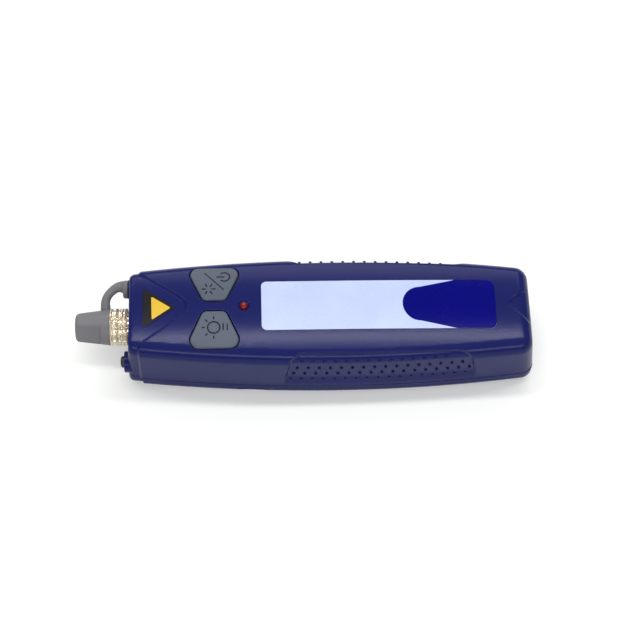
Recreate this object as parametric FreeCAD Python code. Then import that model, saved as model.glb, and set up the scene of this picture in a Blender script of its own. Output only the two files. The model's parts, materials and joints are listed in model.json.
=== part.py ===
"""A handheld visual fault locator: a red-laser tester for optical fibre.

Lengths are in millimetres. While it is built, the housing lies on its back with its nose face
at x = 0 and its butt towards +x. y = 0 is its plane of symmetry, and z = 0 is the face that it
rests on. The parts are moved at the end, so that the origin is under the middle of the whole.
"""
import FreeCAD, Part
import math
import os
from FreeCAD import Vector

# ---------------------------------------------------------------- driving sizes
# Housing: a barrel in plan, with a crowned front face and rounded corners.
BODY_LENGTH = 152.4
WIDEST_AT = 78.0
NOSE_HALF_WIDTH = 17.2
MIDDLE_HALF_WIDTH = 22.0
BUTT_HALF_WIDTH = 17.3
NOSE_HEIGHT = 31.6
MIDDLE_HEIGHT = 32.0
BUTT_HEIGHT = 30.4
CROWN_RADIUS = 85.0
FRONT_CORNER = 5.4
BACK_CORNER = 5.6
NOSE_ROUNDING = 2.0
NOSE_LEAN = 0.045
BUTT_ROUNDING_OF_CORNER = 0.82
BUTT_LEAN = 0.115
WALL = 2.0
BASE_CUT = 0.05
PARTING_HEIGHT = 8.2
REVEAL_HEIGHT = 0.3
REVEAL_DEPTH = 0.45
LIP_THICKNESS = 0.9
LIP_HEIGHT = 1.4
FIT_GAP = 0.1

# Lowered nose and the V-shaped steps at both ends of the front face.
STEP_DEPTH = 0.75
NOSE_STEP_X = 5.3
NOSE_V_HALF_WIDTH = 15.3
NOSE_V_APEX_X = 26.8
NOSE_V_TIP_RADIUS = 5.6
BUTT_V_HALF_WIDTH = 10.1
BUTT_V_APEX_FROM_BUTT = 12.2
BUTT_V_TIP_RADIUS = 2.6

# Recessed grips on both sides of the front shell. Their outline is drawn across the corner,
# as (x, height up that slope), where 0 is the middle of the slope.
GRIP_DEPTH = 0.9
GRIP_FOOT = -9.9
GRIP_TOP = 8.0
GRIP_FOOT_FRONT_X = 56.9
GRIP_KNEE_FRONT_X = 60.0
GRIP_KNEE = 5.0
GRIP_TOP_FRONT_X = 64.0
GRIP_FOOT_FROM_BUTT = 20.4
GRIP_TOP_FROM_BUTT = 25.3
GRIP_KNEE_CORNER = 2.5
GRIP_FRONT_CORNER = 3.0
GRIP_BACK_CORNER = 7.0
NUB_RADIUS = 0.6
NUB_SINK = 0.12
NUB_PITCH = 4.1
NUB_ROOT = 3.0
# Each row's height, its first nub's x and its last nub's distance from the butt.
NUB_ROWS = ((26.4, 64.6, 34.5), (21.3, 62.9, 28.0), (16.9, 61.7, 25.1), (13.0, 60.5, 26.3))

# Finger scoops under the parting line, and the front edge of the battery door.
SCOOP_FRONT_X = 37.0
SCOOP_BACK_X = 54.0
SCOOP_TOP_Z = 6.3
SCOOP_DEPTH = 1.2
DOOR_EDGE_FROM_BUTT = 61.4
DOOR_EDGE_LEAN = 1.28
DOOR_GAP = 0.1
DOOR_HOOK_LENGTH = 3.0
DOOR_HOOK_THICKNESS = 0.8
DOOR_HOOK_HALF_WIDTH = 9.0
RAIL_FROM_TRAY_FRONT = 7.7
RAIL_LENGTH = 24.0
RAIL_HEIGHT = 5.9
RAIL_THICKNESS = 1.0
RAIL_REACH = 1.2
RAIL_GAP = 0.2

# Keys.
KEY_CENTRE_X = 32.6
KEY_INNER_Y = 1.85
KEY_OUTER_Y = 17.15
KEY_INNER_HALF_LENGTH = 4.4
KEY_OUTER_HALF_LENGTH = 11.2
KEY_INNER_CORNER = 2.6
KEY_OUTER_CORNER = 3.6
KEY_GAP = 0.4
KEY_PROUD = 0.45
KEY_ROUNDING = 0.6
KEY_FLANGE_WIDTH = 0.9
KEY_FLANGE_THICKNESS = 1.0
KEY_STEM_RADIUS = 2.0
KEY_Y = 9.5
KEY_TRAVEL = 0.5

# Indicator, label and decal.
LED_X = 43.5
LED_RADIUS = 1.5
LED_PROUD = 0.9
LED_FLANGE_WIDTH = 0.4
LED_FLANGE_THICKNESS = 1.0
LED_SINK_RADIUS = 2.45
LED_SINK_DEPTH = 0.5
LABEL_FRONT_X = 50.0
LABEL_FROM_BUTT = 15.6
LABEL_HALF_WIDTH = 10.15
LABEL_CORNER = 2.0
LABEL_THICKNESS = 0.4
LABEL_RECESS = 0.35
LABEL_GAP = 0.15
DECAL_FRONT_X = 6.2
DECAL_APEX_X = 18.4
DECAL_HALF_WIDTH = 8.5
DECAL_CORNER = 0.7
DECAL_THICKNESS = 0.2

# Optical port, on an axis along x at PORT_HEIGHT.
PORT_HEIGHT = 16.0
PORT_HOLE_RADIUS = 5.0
THREAD_RADIUS = 4.9
BARREL_FRONT_RADIUS = 2.4
BARREL_FRONT_LENGTH = 8.0
LOCK_RING_LENGTH = 2.3
KNURLED_RING_LENGTH = 4.2
RING_RADIUS = 7.0
RING_CHAMFER = 0.4
RING_FACE = 0.3
RING_GAP = 0.05
FLANGE_RADIUS = 6.5
FLANGE_THICKNESS = 1.6
FERRULE_RADIUS = 1.25
SLEEVE_WALL = 0.36
SLEEVE_LENGTH = 11.4
SLEEVE_SLOT = 0.5
PORT_LIP = 0.6
LIGHT_BORE_RADIUS = 1.0
SPIGOT_RADIUS = 3.4
SPIGOT_LENGTH = 4.5
SLIDING_GAP = 0.03

# Laser behind the port.
LASER_BARREL_RADIUS = 4.6
LASER_BARREL_LENGTH = 21.4
LENS_RADIUS = 2.5
LENS_THICKNESS = 2.4
LENS_SAG = 0.8
LENS_STEP = 0.7
LENS_SEAT_FROM_SPIGOT = 2.4
LENS_RING_LENGTH = 1.5
DIODE_FLANGE_RADIUS = 2.8
DIODE_FLANGE_THICKNESS = 1.2
DIODE_CAN_RADIUS = 1.8
DIODE_CAN_LENGTH = 2.2
DIODE_SEAT_FROM_LENS = 6.5
DIODE_RING_LENGTH = 1.9
LEAD_RADIUS = 0.25
LEAD_PITCH = 1.27
LEAD_CLEARANCE = 2.0
CRADLE_X = 20.0
CRADLE_THICKNESS = 2.0
CRADLE_HALF_WIDTH = 6.5
CRADLE_HEIGHT = 13.5

# Rubber dust cap and the strap that keeps it.
CAP_MOUTH_RADIUS = 6.8
CAP_TIP_RADIUS = 5.2
CAP_LENGTH = 13.1
CAP_TIP_ROUNDING = 1.7
CAP_COLLAR_LENGTH = 3.5
CAP_FLAT_ROOT = 4.8
CAP_FLAT_TIP = 3.5
CAP_TURN = 25.0
CAP_BORE_CLEARANCE = 0.3
STRAP_ANCHOR_Y = 12.8
STRAP_ANCHOR_Z = 22.0
STRAP_RADIUS = 1.65
STRAP_ROOT_FROM_CAP_END = 1.95
STRAP_GAP = 0.25
STRAP_LEAN = -0.2
STRAP_CORNER_OUT = 13.6
STRAP_END_OUT = 15.7
STRAP_BEND_RADIUS = 4.2
EYE_RADIUS = 3.5
EYE_THICKNESS = 1.9
PEG_RADIUS = 1.6
PEG_HEAD_RADIUS = 2.3
PEG_HEAD_LENGTH = 1.4

# Lug beside the port.
LUG_Y = -12.7
LUG_Z = 12.2
LUG_RADIUS = 4.0
LUG_HEIGHT = 1.4

# Circuit board and what stands on it.
BOARD_FRONT_X = 17.0
BOARD_OVER_TRAY = 4.7
BOARD_HALF_WIDTH = 13.5
BOARD_TOP = 23.6
BOARD_THICKNESS = 1.6
SWITCH_SIDE = 6.2
SWITCH_HEIGHT = 3.4
SWITCH_WELL_DEPTH = 1.2
PLUNGER_RADIUS = 1.7
PLUNGER_HEIGHT = 0.9
PLUNGER_SUNK = 0.3
CHIP_X = 60.0
CHIP_LENGTH = 6.0
CHIP_WIDTH = 5.0
CHIP_HEIGHT = 1.6
CAPACITOR_X = 68.0
CAPACITOR_Y = 6.5
CAPACITOR_RADIUS = 2.5
CAPACITOR_HEIGHT = 5.0
TRIMMER_X = 55.0
TRIMMER_Y = -7.0
TRIMMER_SIDE = 4.0
TRIMMER_HEIGHT = 2.6
TRIMMER_SLOT_DEPTH = 0.6

# Batteries, their tray and contacts.
CELL_RADIUS = 7.2
CELL_LENGTH = 49.3
CELL_NIPPLE_RADIUS = 2.7
CELL_NIPPLE_LENGTH = 1.2
CELL_Y = 7.35
CELL_AXIS_HEIGHT = 10.3
TRAY_FRONT_FROM_BUTT = 64.1
TRAY_INNER_LENGTH = 55.5
TRAY_INNER_HALF_WIDTH = 14.8
TRAY_WALL = 1.0
TRAY_END_WALL = 1.2
TRAY_CEILING_GAP = 0.3
TRAY_FOOT_HALF_WIDTH = 14.0
TRAY_FOOT_HEIGHT = 3.2
CONTACT_THICKNESS = 0.4
CONTACT_HALF_WIDTH = 4.5
CONTACT_HEIGHT = 10.0
CONTACT_LEG_HALF_WIDTH = 1.5
SPRING_WIRE_RADIUS = 0.4
SPRING_BASE_RADIUS = 3.6
SPRING_TIP_RADIUS = 2.2
SPRING_TURNS = 2.5
SPRING_SIDES = 12

# Screws.
NOSE_SCREW_X = 11.0
NOSE_SCREW_FROM_SIDE = 6.2
MIDDLE_SCREW_FROM_TRAY = 14.3
MIDDLE_SCREW_FROM_SIDE = 5.0
HOUSING_SCREW_TOP = 17.0
BOARD_SCREW_FRONT_X = 50.0
BOARD_SCREW_FROM_BACK = 17.0
BOARD_SCREW_Y = 10.8
BOARD_SCREW_LENGTH = 5.0
TRAY_SCREW_FROM_END = (16.7, 49.7)
TRAY_SCREW_LENGTH = 5.0
SHANK_RADIUS = 1.25
HEAD_RADIUS = 2.2
HEAD_HEIGHT = 1.4
BOSS_RADIUS = 2.9
SINK_BOSS_RADIUS = 3.4
HEAD_SINK = 3.0
HEAD_SINK_GAP = 0.2
SHANK_GAP = 0.15
PILOT_GAP = 0.02
PILOT_SPARE = 0.5
LUG_SCREW_LENGTH = 5.4
NOSE_BOSS_RADIUS = 2.6
NOSE_BOSS_LENGTH = 4.5

# ---------------------------------------------------------------- sizes that follow
PORT_FRONT_X = -(LOCK_RING_LENGTH + KNURLED_RING_LENGTH)
CAP_BACK_X = PORT_FRONT_X - RING_GAP
CAP_TIP_X = CAP_BACK_X - CAP_LENGTH
BARREL_TIP_X = PORT_FRONT_X - BARREL_FRONT_LENGTH
FLANGE_X = WALL + RING_GAP
SPIGOT_X = FLANGE_X + FLANGE_THICKNESS
SPIGOT_END_X = SPIGOT_X + SPIGOT_LENGTH
LENS_X = SPIGOT_END_X + LENS_SEAT_FROM_SPIGOT
DIODE_X = LENS_X + DIODE_SEAT_FROM_LENS
LASER_BARREL_END_X = SPIGOT_X + LASER_BARREL_LENGTH
BOARD_BOTTOM = BOARD_TOP - BOARD_THICKNESS
SWITCH_TOP = BOARD_TOP + SWITCH_HEIGHT
PLUNGER_TOP = SWITCH_TOP + PLUNGER_HEIGHT
SLEEVE_RADIUS = FERRULE_RADIUS + SLEEVE_WALL
GRIP_FOOT_BACK_X = BODY_LENGTH - GRIP_FOOT_FROM_BUTT
GRIP_TOP_BACK_X = BODY_LENGTH - GRIP_TOP_FROM_BUTT
SEAT_RADIUS = RING_RADIUS + 0.3
DOOR_EDGE_X = BODY_LENGTH - DOOR_EDGE_FROM_BUTT
LABEL_BACK_X = BODY_LENGTH - LABEL_FROM_BUTT
TRAY_FRONT_X = BODY_LENGTH - TRAY_FRONT_FROM_BUTT
RAIL_FRONT_X = TRAY_FRONT_X + RAIL_FROM_TRAY_FRONT
RAIL_BACK_X = RAIL_FRONT_X + RAIL_LENGTH
BOARD_BACK_X = TRAY_FRONT_X + BOARD_OVER_TRAY
CELL_END_X = TRAY_FRONT_X + TRAY_END_WALL
TRAY_BACK_X = CELL_END_X + TRAY_INNER_LENGTH
TRAY_CEILING = CELL_AXIS_HEIGHT + CELL_RADIUS + TRAY_CEILING_GAP
TRAY_TOP = TRAY_CEILING + TRAY_WALL
BAY_LOW = CELL_AXIS_HEIGHT
TRAY_HALF_WIDTH = TRAY_INNER_HALF_WIDTH + TRAY_WALL
HIGH = MIDDLE_HEIGHT + 10.0
FAR = MIDDLE_HALF_WIDTH + 10.0


# ---------------------------------------------------------------- helpers
def box(x0, x1, y0, y1, z0, z1):
    return Part.makeBox(x1 - x0, y1 - y0, z1 - z0, Vector(x0, y0, z0))


def rod(x0, x1, radius, y=0.0, z=PORT_HEIGHT):
    """A cylinder along x."""
    return Part.makeCylinder(radius, x1 - x0, Vector(x0, y, z), Vector(1, 0, 0))


def post(x, y, z0, z1, radius):
    """A cylinder along z."""
    return Part.makeCylinder(radius, z1 - z0, Vector(x, y, z0))


def turned(profile):
    """A solid turned about the port axis, from (x, radius) points."""
    points = [Vector(x, 0, PORT_HEIGHT + radius) for x, radius in profile]
    face = Part.Face(Part.makePolygon(points + points[:1]))
    return face.revolve(Vector(0, 0, PORT_HEIGHT), Vector(1, 0, 0), 360)


def fused(shapes):
    first, rest = shapes[0], shapes[1:]
    return first.fuse(rest).removeSplitter() if rest else first


def outline(corners):
    """A closed plan outline at z = 0 through (x, y, corner radius) corners."""
    edges = []
    count = len(corners)
    ends = []
    for i, (x, y, radius) in enumerate(corners):
        here = Vector(x, y, 0)
        before = Vector(*corners[i - 1][:2], 0) - here
        after = Vector(*corners[(i + 1) % count][:2], 0) - here
        half = before.getAngle(after) / 2
        before.normalize()
        after.normalize()
        reach = radius / math.tan(half)
        bisector = (before + after).normalize()
        middle = here + bisector * (radius / math.sin(half) - radius)
        ends.append((here + before * reach, middle, here + after * reach, radius))
    for i, (start, middle, end, radius) in enumerate(ends):
        if radius > 0:
            edges.append(Part.Arc(start, middle, end).toShape())
        edges.append(Part.makeLine(end, ends[(i + 1) % count][0]))
    return Part.Face(Part.Wire(edges))


def prism(face, z0, z1):
    """A plan outline pulled up from z0 to z1."""
    lifted = face.copy()
    lifted.translate(Vector(0, 0, z0))
    return lifted.extrude(Vector(0, 0, z1 - z0))


def mirrored(shape):
    return shape.mirror(Vector(0, 0, 0), Vector(0, 1, 0))


def flat_edges(shape, x):
    """The edges of a shape that lie in the plane at x."""
    found = []
    for edge in shape.Edges:
        if all(abs(vertex.X - x) < 1e-6 for vertex in edge.Vertexes):
            middle = edge.valueAt((edge.FirstParameter + edge.LastParameter) / 2)
            if abs(middle.x - x) < 1e-6:
                found.append(edge)
    return found


# ---------------------------------------------------------------- housing form
def bulged(x, nose, middle, butt):
    """A width or height at x that swells from both ends to its middle value."""
    end_x, end = (0.0, nose) if x < WIDEST_AT else (BODY_LENGTH, butt)
    share = (x - WIDEST_AT) / (end_x - WIDEST_AT)
    return middle + (end - middle) * share**2


def half_width(x):
    return bulged(x, NOSE_HALF_WIDTH, MIDDLE_HALF_WIDTH, BUTT_HALF_WIDTH)


def height(x):
    return bulged(x, NOSE_HEIGHT, MIDDLE_HEIGHT, BUTT_HEIGHT)


def crown_height(x, y, inset=0.0):
    """The height of the front face, or of a face below it, at x and y."""
    radius = CROWN_RADIUS - inset
    return height(x) - inset - radius + math.sqrt(radius**2 - y**2)


def section(x, inset):
    """The housing's cross-section at x, moved inwards by inset.

    Its base lies BASE_CUT too low, so that a level cut leaves a truly flat face there.
    """
    base_z = inset - BASE_CUT
    half = half_width(x) - inset
    front = FRONT_CORNER - inset
    back = BACK_CORNER - inset
    crown = CROWN_RADIUS - inset
    corner_y = half - front
    lean = math.asin(corner_y / (crown - front))
    corner_z = height(x) - inset - crown + (crown - front) * math.cos(lean)
    diagonal = math.sqrt(0.5)
    bisector = (math.pi / 2 + lean) / 2

    def side(sign):
        def at(y, z):
            return Vector(x, sign * y, z)

        def on_corner(angle):
            return at(corner_y + front * math.sin(angle), corner_z + front * math.cos(angle))

        foot = at(half - back, base_z)
        foot_middle = at(half - back + back * diagonal, base_z + back * (1 - diagonal))
        wall_foot = at(half, base_z + back)
        wall_top = at(half, corner_z)
        crown_edge = on_corner(lean)
        edges = [
            Part.Arc(foot, foot_middle, wall_foot).toShape(),
            Part.makeLine(wall_foot, wall_top),
            Part.Arc(wall_top, on_corner(bisector), crown_edge).toShape(),
        ]
        return foot, edges, crown_edge

    right_foot, right, right_edge = side(1)
    left_foot, left, left_edge = side(-1)
    base = Part.makeLine(left_foot, right_foot)
    crown_arc = Part.Arc(right_edge, Vector(x, 0, height(x) - inset), left_edge).toShape()
    return Part.Wire([base] + right + [crown_arc] + left[::-1])


def form(inset, x0=0.0, x1=BODY_LENGTH):
    """The housing's outer form, moved inwards by inset, from x0 to x1."""
    stations = [x0, (x0 + WIDEST_AT) / 2, WIDEST_AT, (WIDEST_AT + x1) / 2, x1]
    return Part.makeLoft([section(x, inset) for x in stations], True, False)


def leaning_end(x, lean, way):
    """Everything beyond the end plane at x, which leans inwards above the parting height."""
    def at(z):
        return x - way * lean * (z - PARTING_HEIGHT)

    corners = [(at(-1), -1), (at(HIGH), HIGH), (x + way * FAR, HIGH), (x + way * FAR, -1)]
    points = [Vector(along, -FAR, up) for along, up in corners]
    return Part.Face(Part.makePolygon(points + points[:1])).extrude(Vector(0, 2 * FAR, 0))


def leaning_edges(shape, x, lean, way):
    """The edges of a shape that lie in the leaning end plane at x."""
    def off(point):
        return abs(point.x - x + way * lean * (point.z - PARTING_HEIGHT))

    found = []
    for edge in shape.Edges:
        middle = edge.valueAt((edge.FirstParameter + edge.LastParameter) / 2)
        ends = [vertex.Point for vertex in edge.Vertexes]
        if all(off(point) < 1e-4 for point in ends + [middle]):
            found.append(edge)
    return found


def butt_rounding(inset):
    """The rounding of the butt's edges, always a little tighter than the long corners."""
    return BUTT_ROUNDING_OF_CORNER * (min(FRONT_CORNER, BACK_CORNER) - inset)


def rounded_form(inset):
    """The outer form with straight ends, their edges rounded. The rear half has this shape."""
    block = form(inset)
    block = block.makeFillet(butt_rounding(inset), flat_edges(block, BODY_LENGTH))
    return block.makeFillet(NOSE_ROUNDING, flat_edges(block, 0.0))


def drafted_form(inset):
    """The outer form with ends that lean inwards, their edges rounded, for the front half."""
    over = 1.0
    block = form(inset, -over, BODY_LENGTH + over)
    block = block.cut([leaning_end(BODY_LENGTH, BUTT_LEAN, 1), leaning_end(0, NOSE_LEAN, -1)])
    block = block.makeFillet(butt_rounding(inset), leaning_edges(block, BODY_LENGTH, BUTT_LEAN, 1))
    return block.makeFillet(NOSE_ROUNDING, leaning_edges(block, 0, NOSE_LEAN, -1))


def cavity():
    """The space inside the housing."""
    block = form(WALL, WALL, BODY_LENGTH - WALL)
    return block.cut(leaning_end(BODY_LENGTH - WALL, BUTT_LEAN, 1))


def v_outline(base_x, apex_x, half, tip_radius, beyond):
    return outline([
        (beyond, -half, 0), (base_x, -half, 0), (apex_x, 0, tip_radius),
        (base_x, half, 0), (beyond, half, 0),
    ])


def nose_zone():
    """The part of the nose that is lowered: its end, and a V on the front face."""
    end = box(-1, NOSE_STEP_X, -FAR, FAR, -1, HIGH)
    point = v_outline(NOSE_STEP_X - 1, NOSE_V_APEX_X, NOSE_V_HALF_WIDTH, NOSE_V_TIP_RADIUS, -1)
    return fused([end, prism(point, PORT_HEIGHT, HIGH)])


def butt_zone():
    """The lowered V at the butt of the front face."""
    apex = BODY_LENGTH - BUTT_V_APEX_FROM_BUTT
    point = v_outline(BODY_LENGTH, apex, BUTT_V_HALF_WIDTH, BUTT_V_TIP_RADIUS, BODY_LENGTH + 1)
    return prism(point, PORT_HEIGHT, HIGH)


def grip_zone():
    """The recess in the +y side: an outline drawn across the front corner, pushed through it."""
    face = outline([
        (GRIP_FOOT_FRONT_X, GRIP_FOOT, 0),
        (GRIP_KNEE_FRONT_X, GRIP_KNEE, GRIP_KNEE_CORNER),
        (GRIP_TOP_FRONT_X, GRIP_TOP, GRIP_FRONT_CORNER),
        (GRIP_TOP_BACK_X, GRIP_TOP, GRIP_BACK_CORNER),
        (GRIP_FOOT_BACK_X, GRIP_FOOT, 0),
    ])
    face.rotate(Vector(0, 0, 0), Vector(1, 0, 0), 135)
    depth = FAR + HIGH
    block = face.extrude(Vector(0, depth, depth))
    return block.common(box(0, BODY_LENGTH, 0, FAR, PARTING_HEIGHT, HIGH))


def nubs():
    """The grip's round nubs on the +y side, their tops a little below the outer form."""
    pegs = []
    for z, first_x, last_from_butt in NUB_ROWS:
        spaces = round((BODY_LENGTH - last_from_butt - first_x) / NUB_PITCH)
        for i in range(spaces + 1):
            x = first_x + i * NUB_PITCH
            root = Vector(x, half_width(x) - NUB_ROOT, z)
            pegs.append(Part.makeCylinder(NUB_RADIUS, NUB_ROOT + FAR, root, Vector(0, 1, 0)))
    return Part.makeCompound(pegs).common(form(NUB_SINK))


def lowered(block, zone, floor):
    """A block whose surface is set back to a floor inside a zone."""
    return block.cut(zone).fuse(floor.common(zone))


def hollow(outer_inset, inner_inset, z0, z1):
    """The layer between two insets of the housing form, from z0 to z1."""
    slab = box(-1, BODY_LENGTH + 1, -FAR, FAR, z0, z1)
    return form(outer_inset, outer_inset, BODY_LENGTH - outer_inset).cut(
        form(inner_inset, inner_inset, BODY_LENGTH - inner_inset)).common(slab)


def inside(shape, inset=WALL / 2):
    """A boss or rib trimmed to end within the housing's wall."""
    return shape.common(form(inset, inset, BODY_LENGTH - inset))


def key_window():
    return outline([
        (KEY_CENTRE_X - KEY_INNER_HALF_LENGTH, KEY_INNER_Y, KEY_INNER_CORNER),
        (KEY_CENTRE_X + KEY_INNER_HALF_LENGTH, KEY_INNER_Y, KEY_INNER_CORNER),
        (KEY_CENTRE_X + KEY_OUTER_HALF_LENGTH, KEY_OUTER_Y, KEY_OUTER_CORNER),
        (KEY_CENTRE_X - KEY_OUTER_HALF_LENGTH, KEY_OUTER_Y, KEY_OUTER_CORNER),
    ])


def label_outline(spread):
    x0, x1, half = LABEL_FRONT_X - spread, LABEL_BACK_X + spread, LABEL_HALF_WIDTH + spread
    corner = LABEL_CORNER + spread
    return outline([
        (x0, -half, corner), (x1, -half, corner), (x1, half, corner), (x0, half, corner),
    ])


def both_sides(places):
    """Each (x, y) place and its mirror image."""
    return [(x, side * y) for x, y in places for side in (1, -1)]


MIDDLE_SCREW_X = TRAY_FRONT_X - MIDDLE_SCREW_FROM_TRAY
HOUSING_SCREWS = both_sides([
    (NOSE_SCREW_X, half_width(NOSE_SCREW_X) - NOSE_SCREW_FROM_SIDE),
    (MIDDLE_SCREW_X, half_width(MIDDLE_SCREW_X) - MIDDLE_SCREW_FROM_SIDE),
])
BOARD_SCREWS = both_sides([
    (BOARD_SCREW_FRONT_X, BOARD_SCREW_Y), (BOARD_BACK_X - BOARD_SCREW_FROM_BACK, BOARD_SCREW_Y),
])
TRAY_SCREWS = [(TRAY_FRONT_X + x, 0.0) for x in TRAY_SCREW_FROM_END]
HOUSING_SCREW_BOTTOM = HEAD_SINK
PILOT_RADIUS = SHANK_RADIUS + PILOT_GAP
CLEAR_RADIUS = SHANK_RADIUS + SHANK_GAP


# ---------------------------------------------------------------- housing pieces
def front_shell():
    outer = lowered(drafted_form(0.0), nose_zone().fuse(butt_zone()), drafted_form(STEP_DEPTH))
    grip = grip_zone()
    outer = lowered(outer, grip.fuse(mirrored(grip)), form(GRIP_DEPTH))
    front_half = box(-1, BODY_LENGTH + 1, -FAR, FAR, PARTING_HEIGHT, HIGH)
    shell = outer.common(front_half).cut(cavity())
    grip_nubs = nubs()

    reveal = hollow(-1.0, REVEAL_DEPTH, PARTING_HEIGHT, PARTING_HEIGHT + REVEAL_HEIGHT)
    window = prism(key_window(), BOARD_TOP, HIGH)
    label_recess = prism(label_outline(LABEL_GAP), BOARD_TOP, HIGH).cut(form(LABEL_RECESS))
    led_top = crown_height(LED_X, 0)
    led_hole = post(LED_X, 0, BOARD_TOP, HIGH, LED_RADIUS + LABEL_GAP)
    led_sink = Part.makeCone(LED_RADIUS + LABEL_GAP, LED_SINK_RADIUS, LED_SINK_DEPTH,
                             Vector(LED_X, 0, led_top - LED_SINK_DEPTH))
    shell = shell.cut([reveal, window, mirrored(window), label_recess, led_hole, led_sink])

    bosses = [post(x, y, PARTING_HEIGHT, HIGH, BOSS_RADIUS) for x, y in HOUSING_SCREWS]
    bosses += [post(x, y, BOARD_TOP, HIGH, BOSS_RADIUS) for x, y in BOARD_SCREWS]
    bosses += [post(x, y, TRAY_TOP, HIGH, BOSS_RADIUS) for x, y in TRAY_SCREWS]
    bosses += [rod(0, WALL + NOSE_BOSS_LENGTH, NOSE_BOSS_RADIUS, LUG_Y, LUG_Z)]
    lug = rod(-LUG_HEIGHT, WALL, LUG_RADIUS, LUG_Y, LUG_Z)
    lug = lug.common(box(-LUG_HEIGHT, WALL, -half_width(0), 0, PARTING_HEIGHT, HIGH))
    seats = [rod(0, WALL, SEAT_RADIUS), rod(0, WALL, EYE_RADIUS, STRAP_ANCHOR_Y, STRAP_ANCHOR_Z)]
    shell = shell.fuse([inside(boss) for boss in bosses] + [lug] + seats)
    shell = shell.fuse(grip_nubs.Solids + mirrored(grip_nubs).Solids)

    holes = [post(x, y, 0, HOUSING_SCREW_TOP + PILOT_SPARE, PILOT_RADIUS) for x, y in HOUSING_SCREWS]
    board_screw_end = BOARD_BOTTOM + BOARD_SCREW_LENGTH + PILOT_SPARE
    holes += [post(x, y, 0, board_screw_end, PILOT_RADIUS) for x, y in BOARD_SCREWS]
    tray_screw_end = TRAY_CEILING + TRAY_SCREW_LENGTH + PILOT_SPARE
    holes += [post(x, y, 0, tray_screw_end, PILOT_RADIUS) for x, y in TRAY_SCREWS]
    lug_screw_end = LUG_SCREW_LENGTH - LUG_HEIGHT + PILOT_SPARE
    holes += [
        rod(-LUG_HEIGHT, lug_screw_end, PILOT_RADIUS, LUG_Y, LUG_Z),
        rod(-1, WALL + 1, PORT_HOLE_RADIUS),
        rod(-1, WALL + 1, PEG_RADIUS + SLIDING_GAP, STRAP_ANCHOR_Y, STRAP_ANCHOR_Z),
    ]
    return shell.cut(holes)


def door_zone(gap):
    """Everything behind the leaning front edge of the battery door, below the parting."""
    top = PARTING_HEIGHT - gap
    foot_x = DOOR_EDGE_X - DOOR_EDGE_LEAN * PARTING_HEIGHT
    low = 0.0
    points = [
        Vector(foot_x + DOOR_EDGE_LEAN * low + gap, -FAR, low),
        Vector(foot_x + DOOR_EDGE_LEAN * top + gap, -FAR, top),
        Vector(BODY_LENGTH + 1, -FAR, top),
        Vector(BODY_LENGTH + 1, -FAR, low),
    ]
    return Part.Face(Part.makePolygon(points + points[:1])).extrude(Vector(0, 2 * FAR, 0))


def rear_shell():
    rear_half = box(-1, BODY_LENGTH + 1, -FAR, FAR, 0, PARTING_HEIGHT)
    outer = lowered(rounded_form(0.0), nose_zone(), rounded_form(STEP_DEPTH))
    shell = outer.common(rear_half).cut(form(WALL, WALL, BODY_LENGTH - WALL))

    lip_inset = WALL + FIT_GAP
    lip_root = hollow(WALL / 2, lip_inset + LIP_THICKNESS, PARTING_HEIGHT - LIP_HEIGHT, PARTING_HEIGHT)
    lip = hollow(lip_inset, lip_inset + LIP_THICKNESS, PARTING_HEIGHT, PARTING_HEIGHT + LIP_HEIGHT)
    lip = lip.cut([post(x, y, 0, HIGH, BOSS_RADIUS + FIT_GAP) for x, y in HOUSING_SCREWS])
    lip = lip.cut(rod(0, WALL + NOSE_BOSS_LENGTH + FIT_GAP, NOSE_BOSS_RADIUS + FIT_GAP, LUG_Y, LUG_Z))
    lip = lip.cut(rod(0, SPIGOT_X, FLANGE_RADIUS + FIT_GAP))
    bosses = [post(x, y, 0, PARTING_HEIGHT, SINK_BOSS_RADIUS) for x, y in HOUSING_SCREWS]
    cradle = box(CRADLE_X - CRADLE_THICKNESS / 2, CRADLE_X + CRADLE_THICKNESS / 2,
                 -CRADLE_HALF_WIDTH, CRADLE_HALF_WIDTH, 0, CRADLE_HEIGHT)
    shell = shell.fuse([lip_root, lip] + [inside(boss) for boss in bosses + [cradle]])

    scoop_length = SCOOP_BACK_X - SCOOP_FRONT_X
    scoop_radius = (scoop_length**2 / 4 + SCOOP_DEPTH**2) / (2 * SCOOP_DEPTH)
    scoop_x = (SCOOP_FRONT_X + SCOOP_BACK_X) / 2
    scoop_y = half_width(scoop_x) - SCOOP_DEPTH + scoop_radius
    scoop = post(scoop_x, scoop_y, -1, SCOOP_TOP_Z, scoop_radius)
    behind = box(DOOR_EDGE_X - FIT_GAP, BODY_LENGTH + 1, -FAR, FAR, -1, HIGH)
    cuts = [post(x, y, -1, HEAD_SINK, HEAD_RADIUS + HEAD_SINK_GAP) for x, y in HOUSING_SCREWS]
    cuts += [post(x, y, -1, PARTING_HEIGHT + 1, CLEAR_RADIUS) for x, y in HOUSING_SCREWS]
    cuts += [scoop, mirrored(scoop), rod(0, BODY_LENGTH, LASER_BARREL_RADIUS + SLIDING_GAP)]
    return shell.cut(cuts + [door_zone(0.0), behind])


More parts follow.
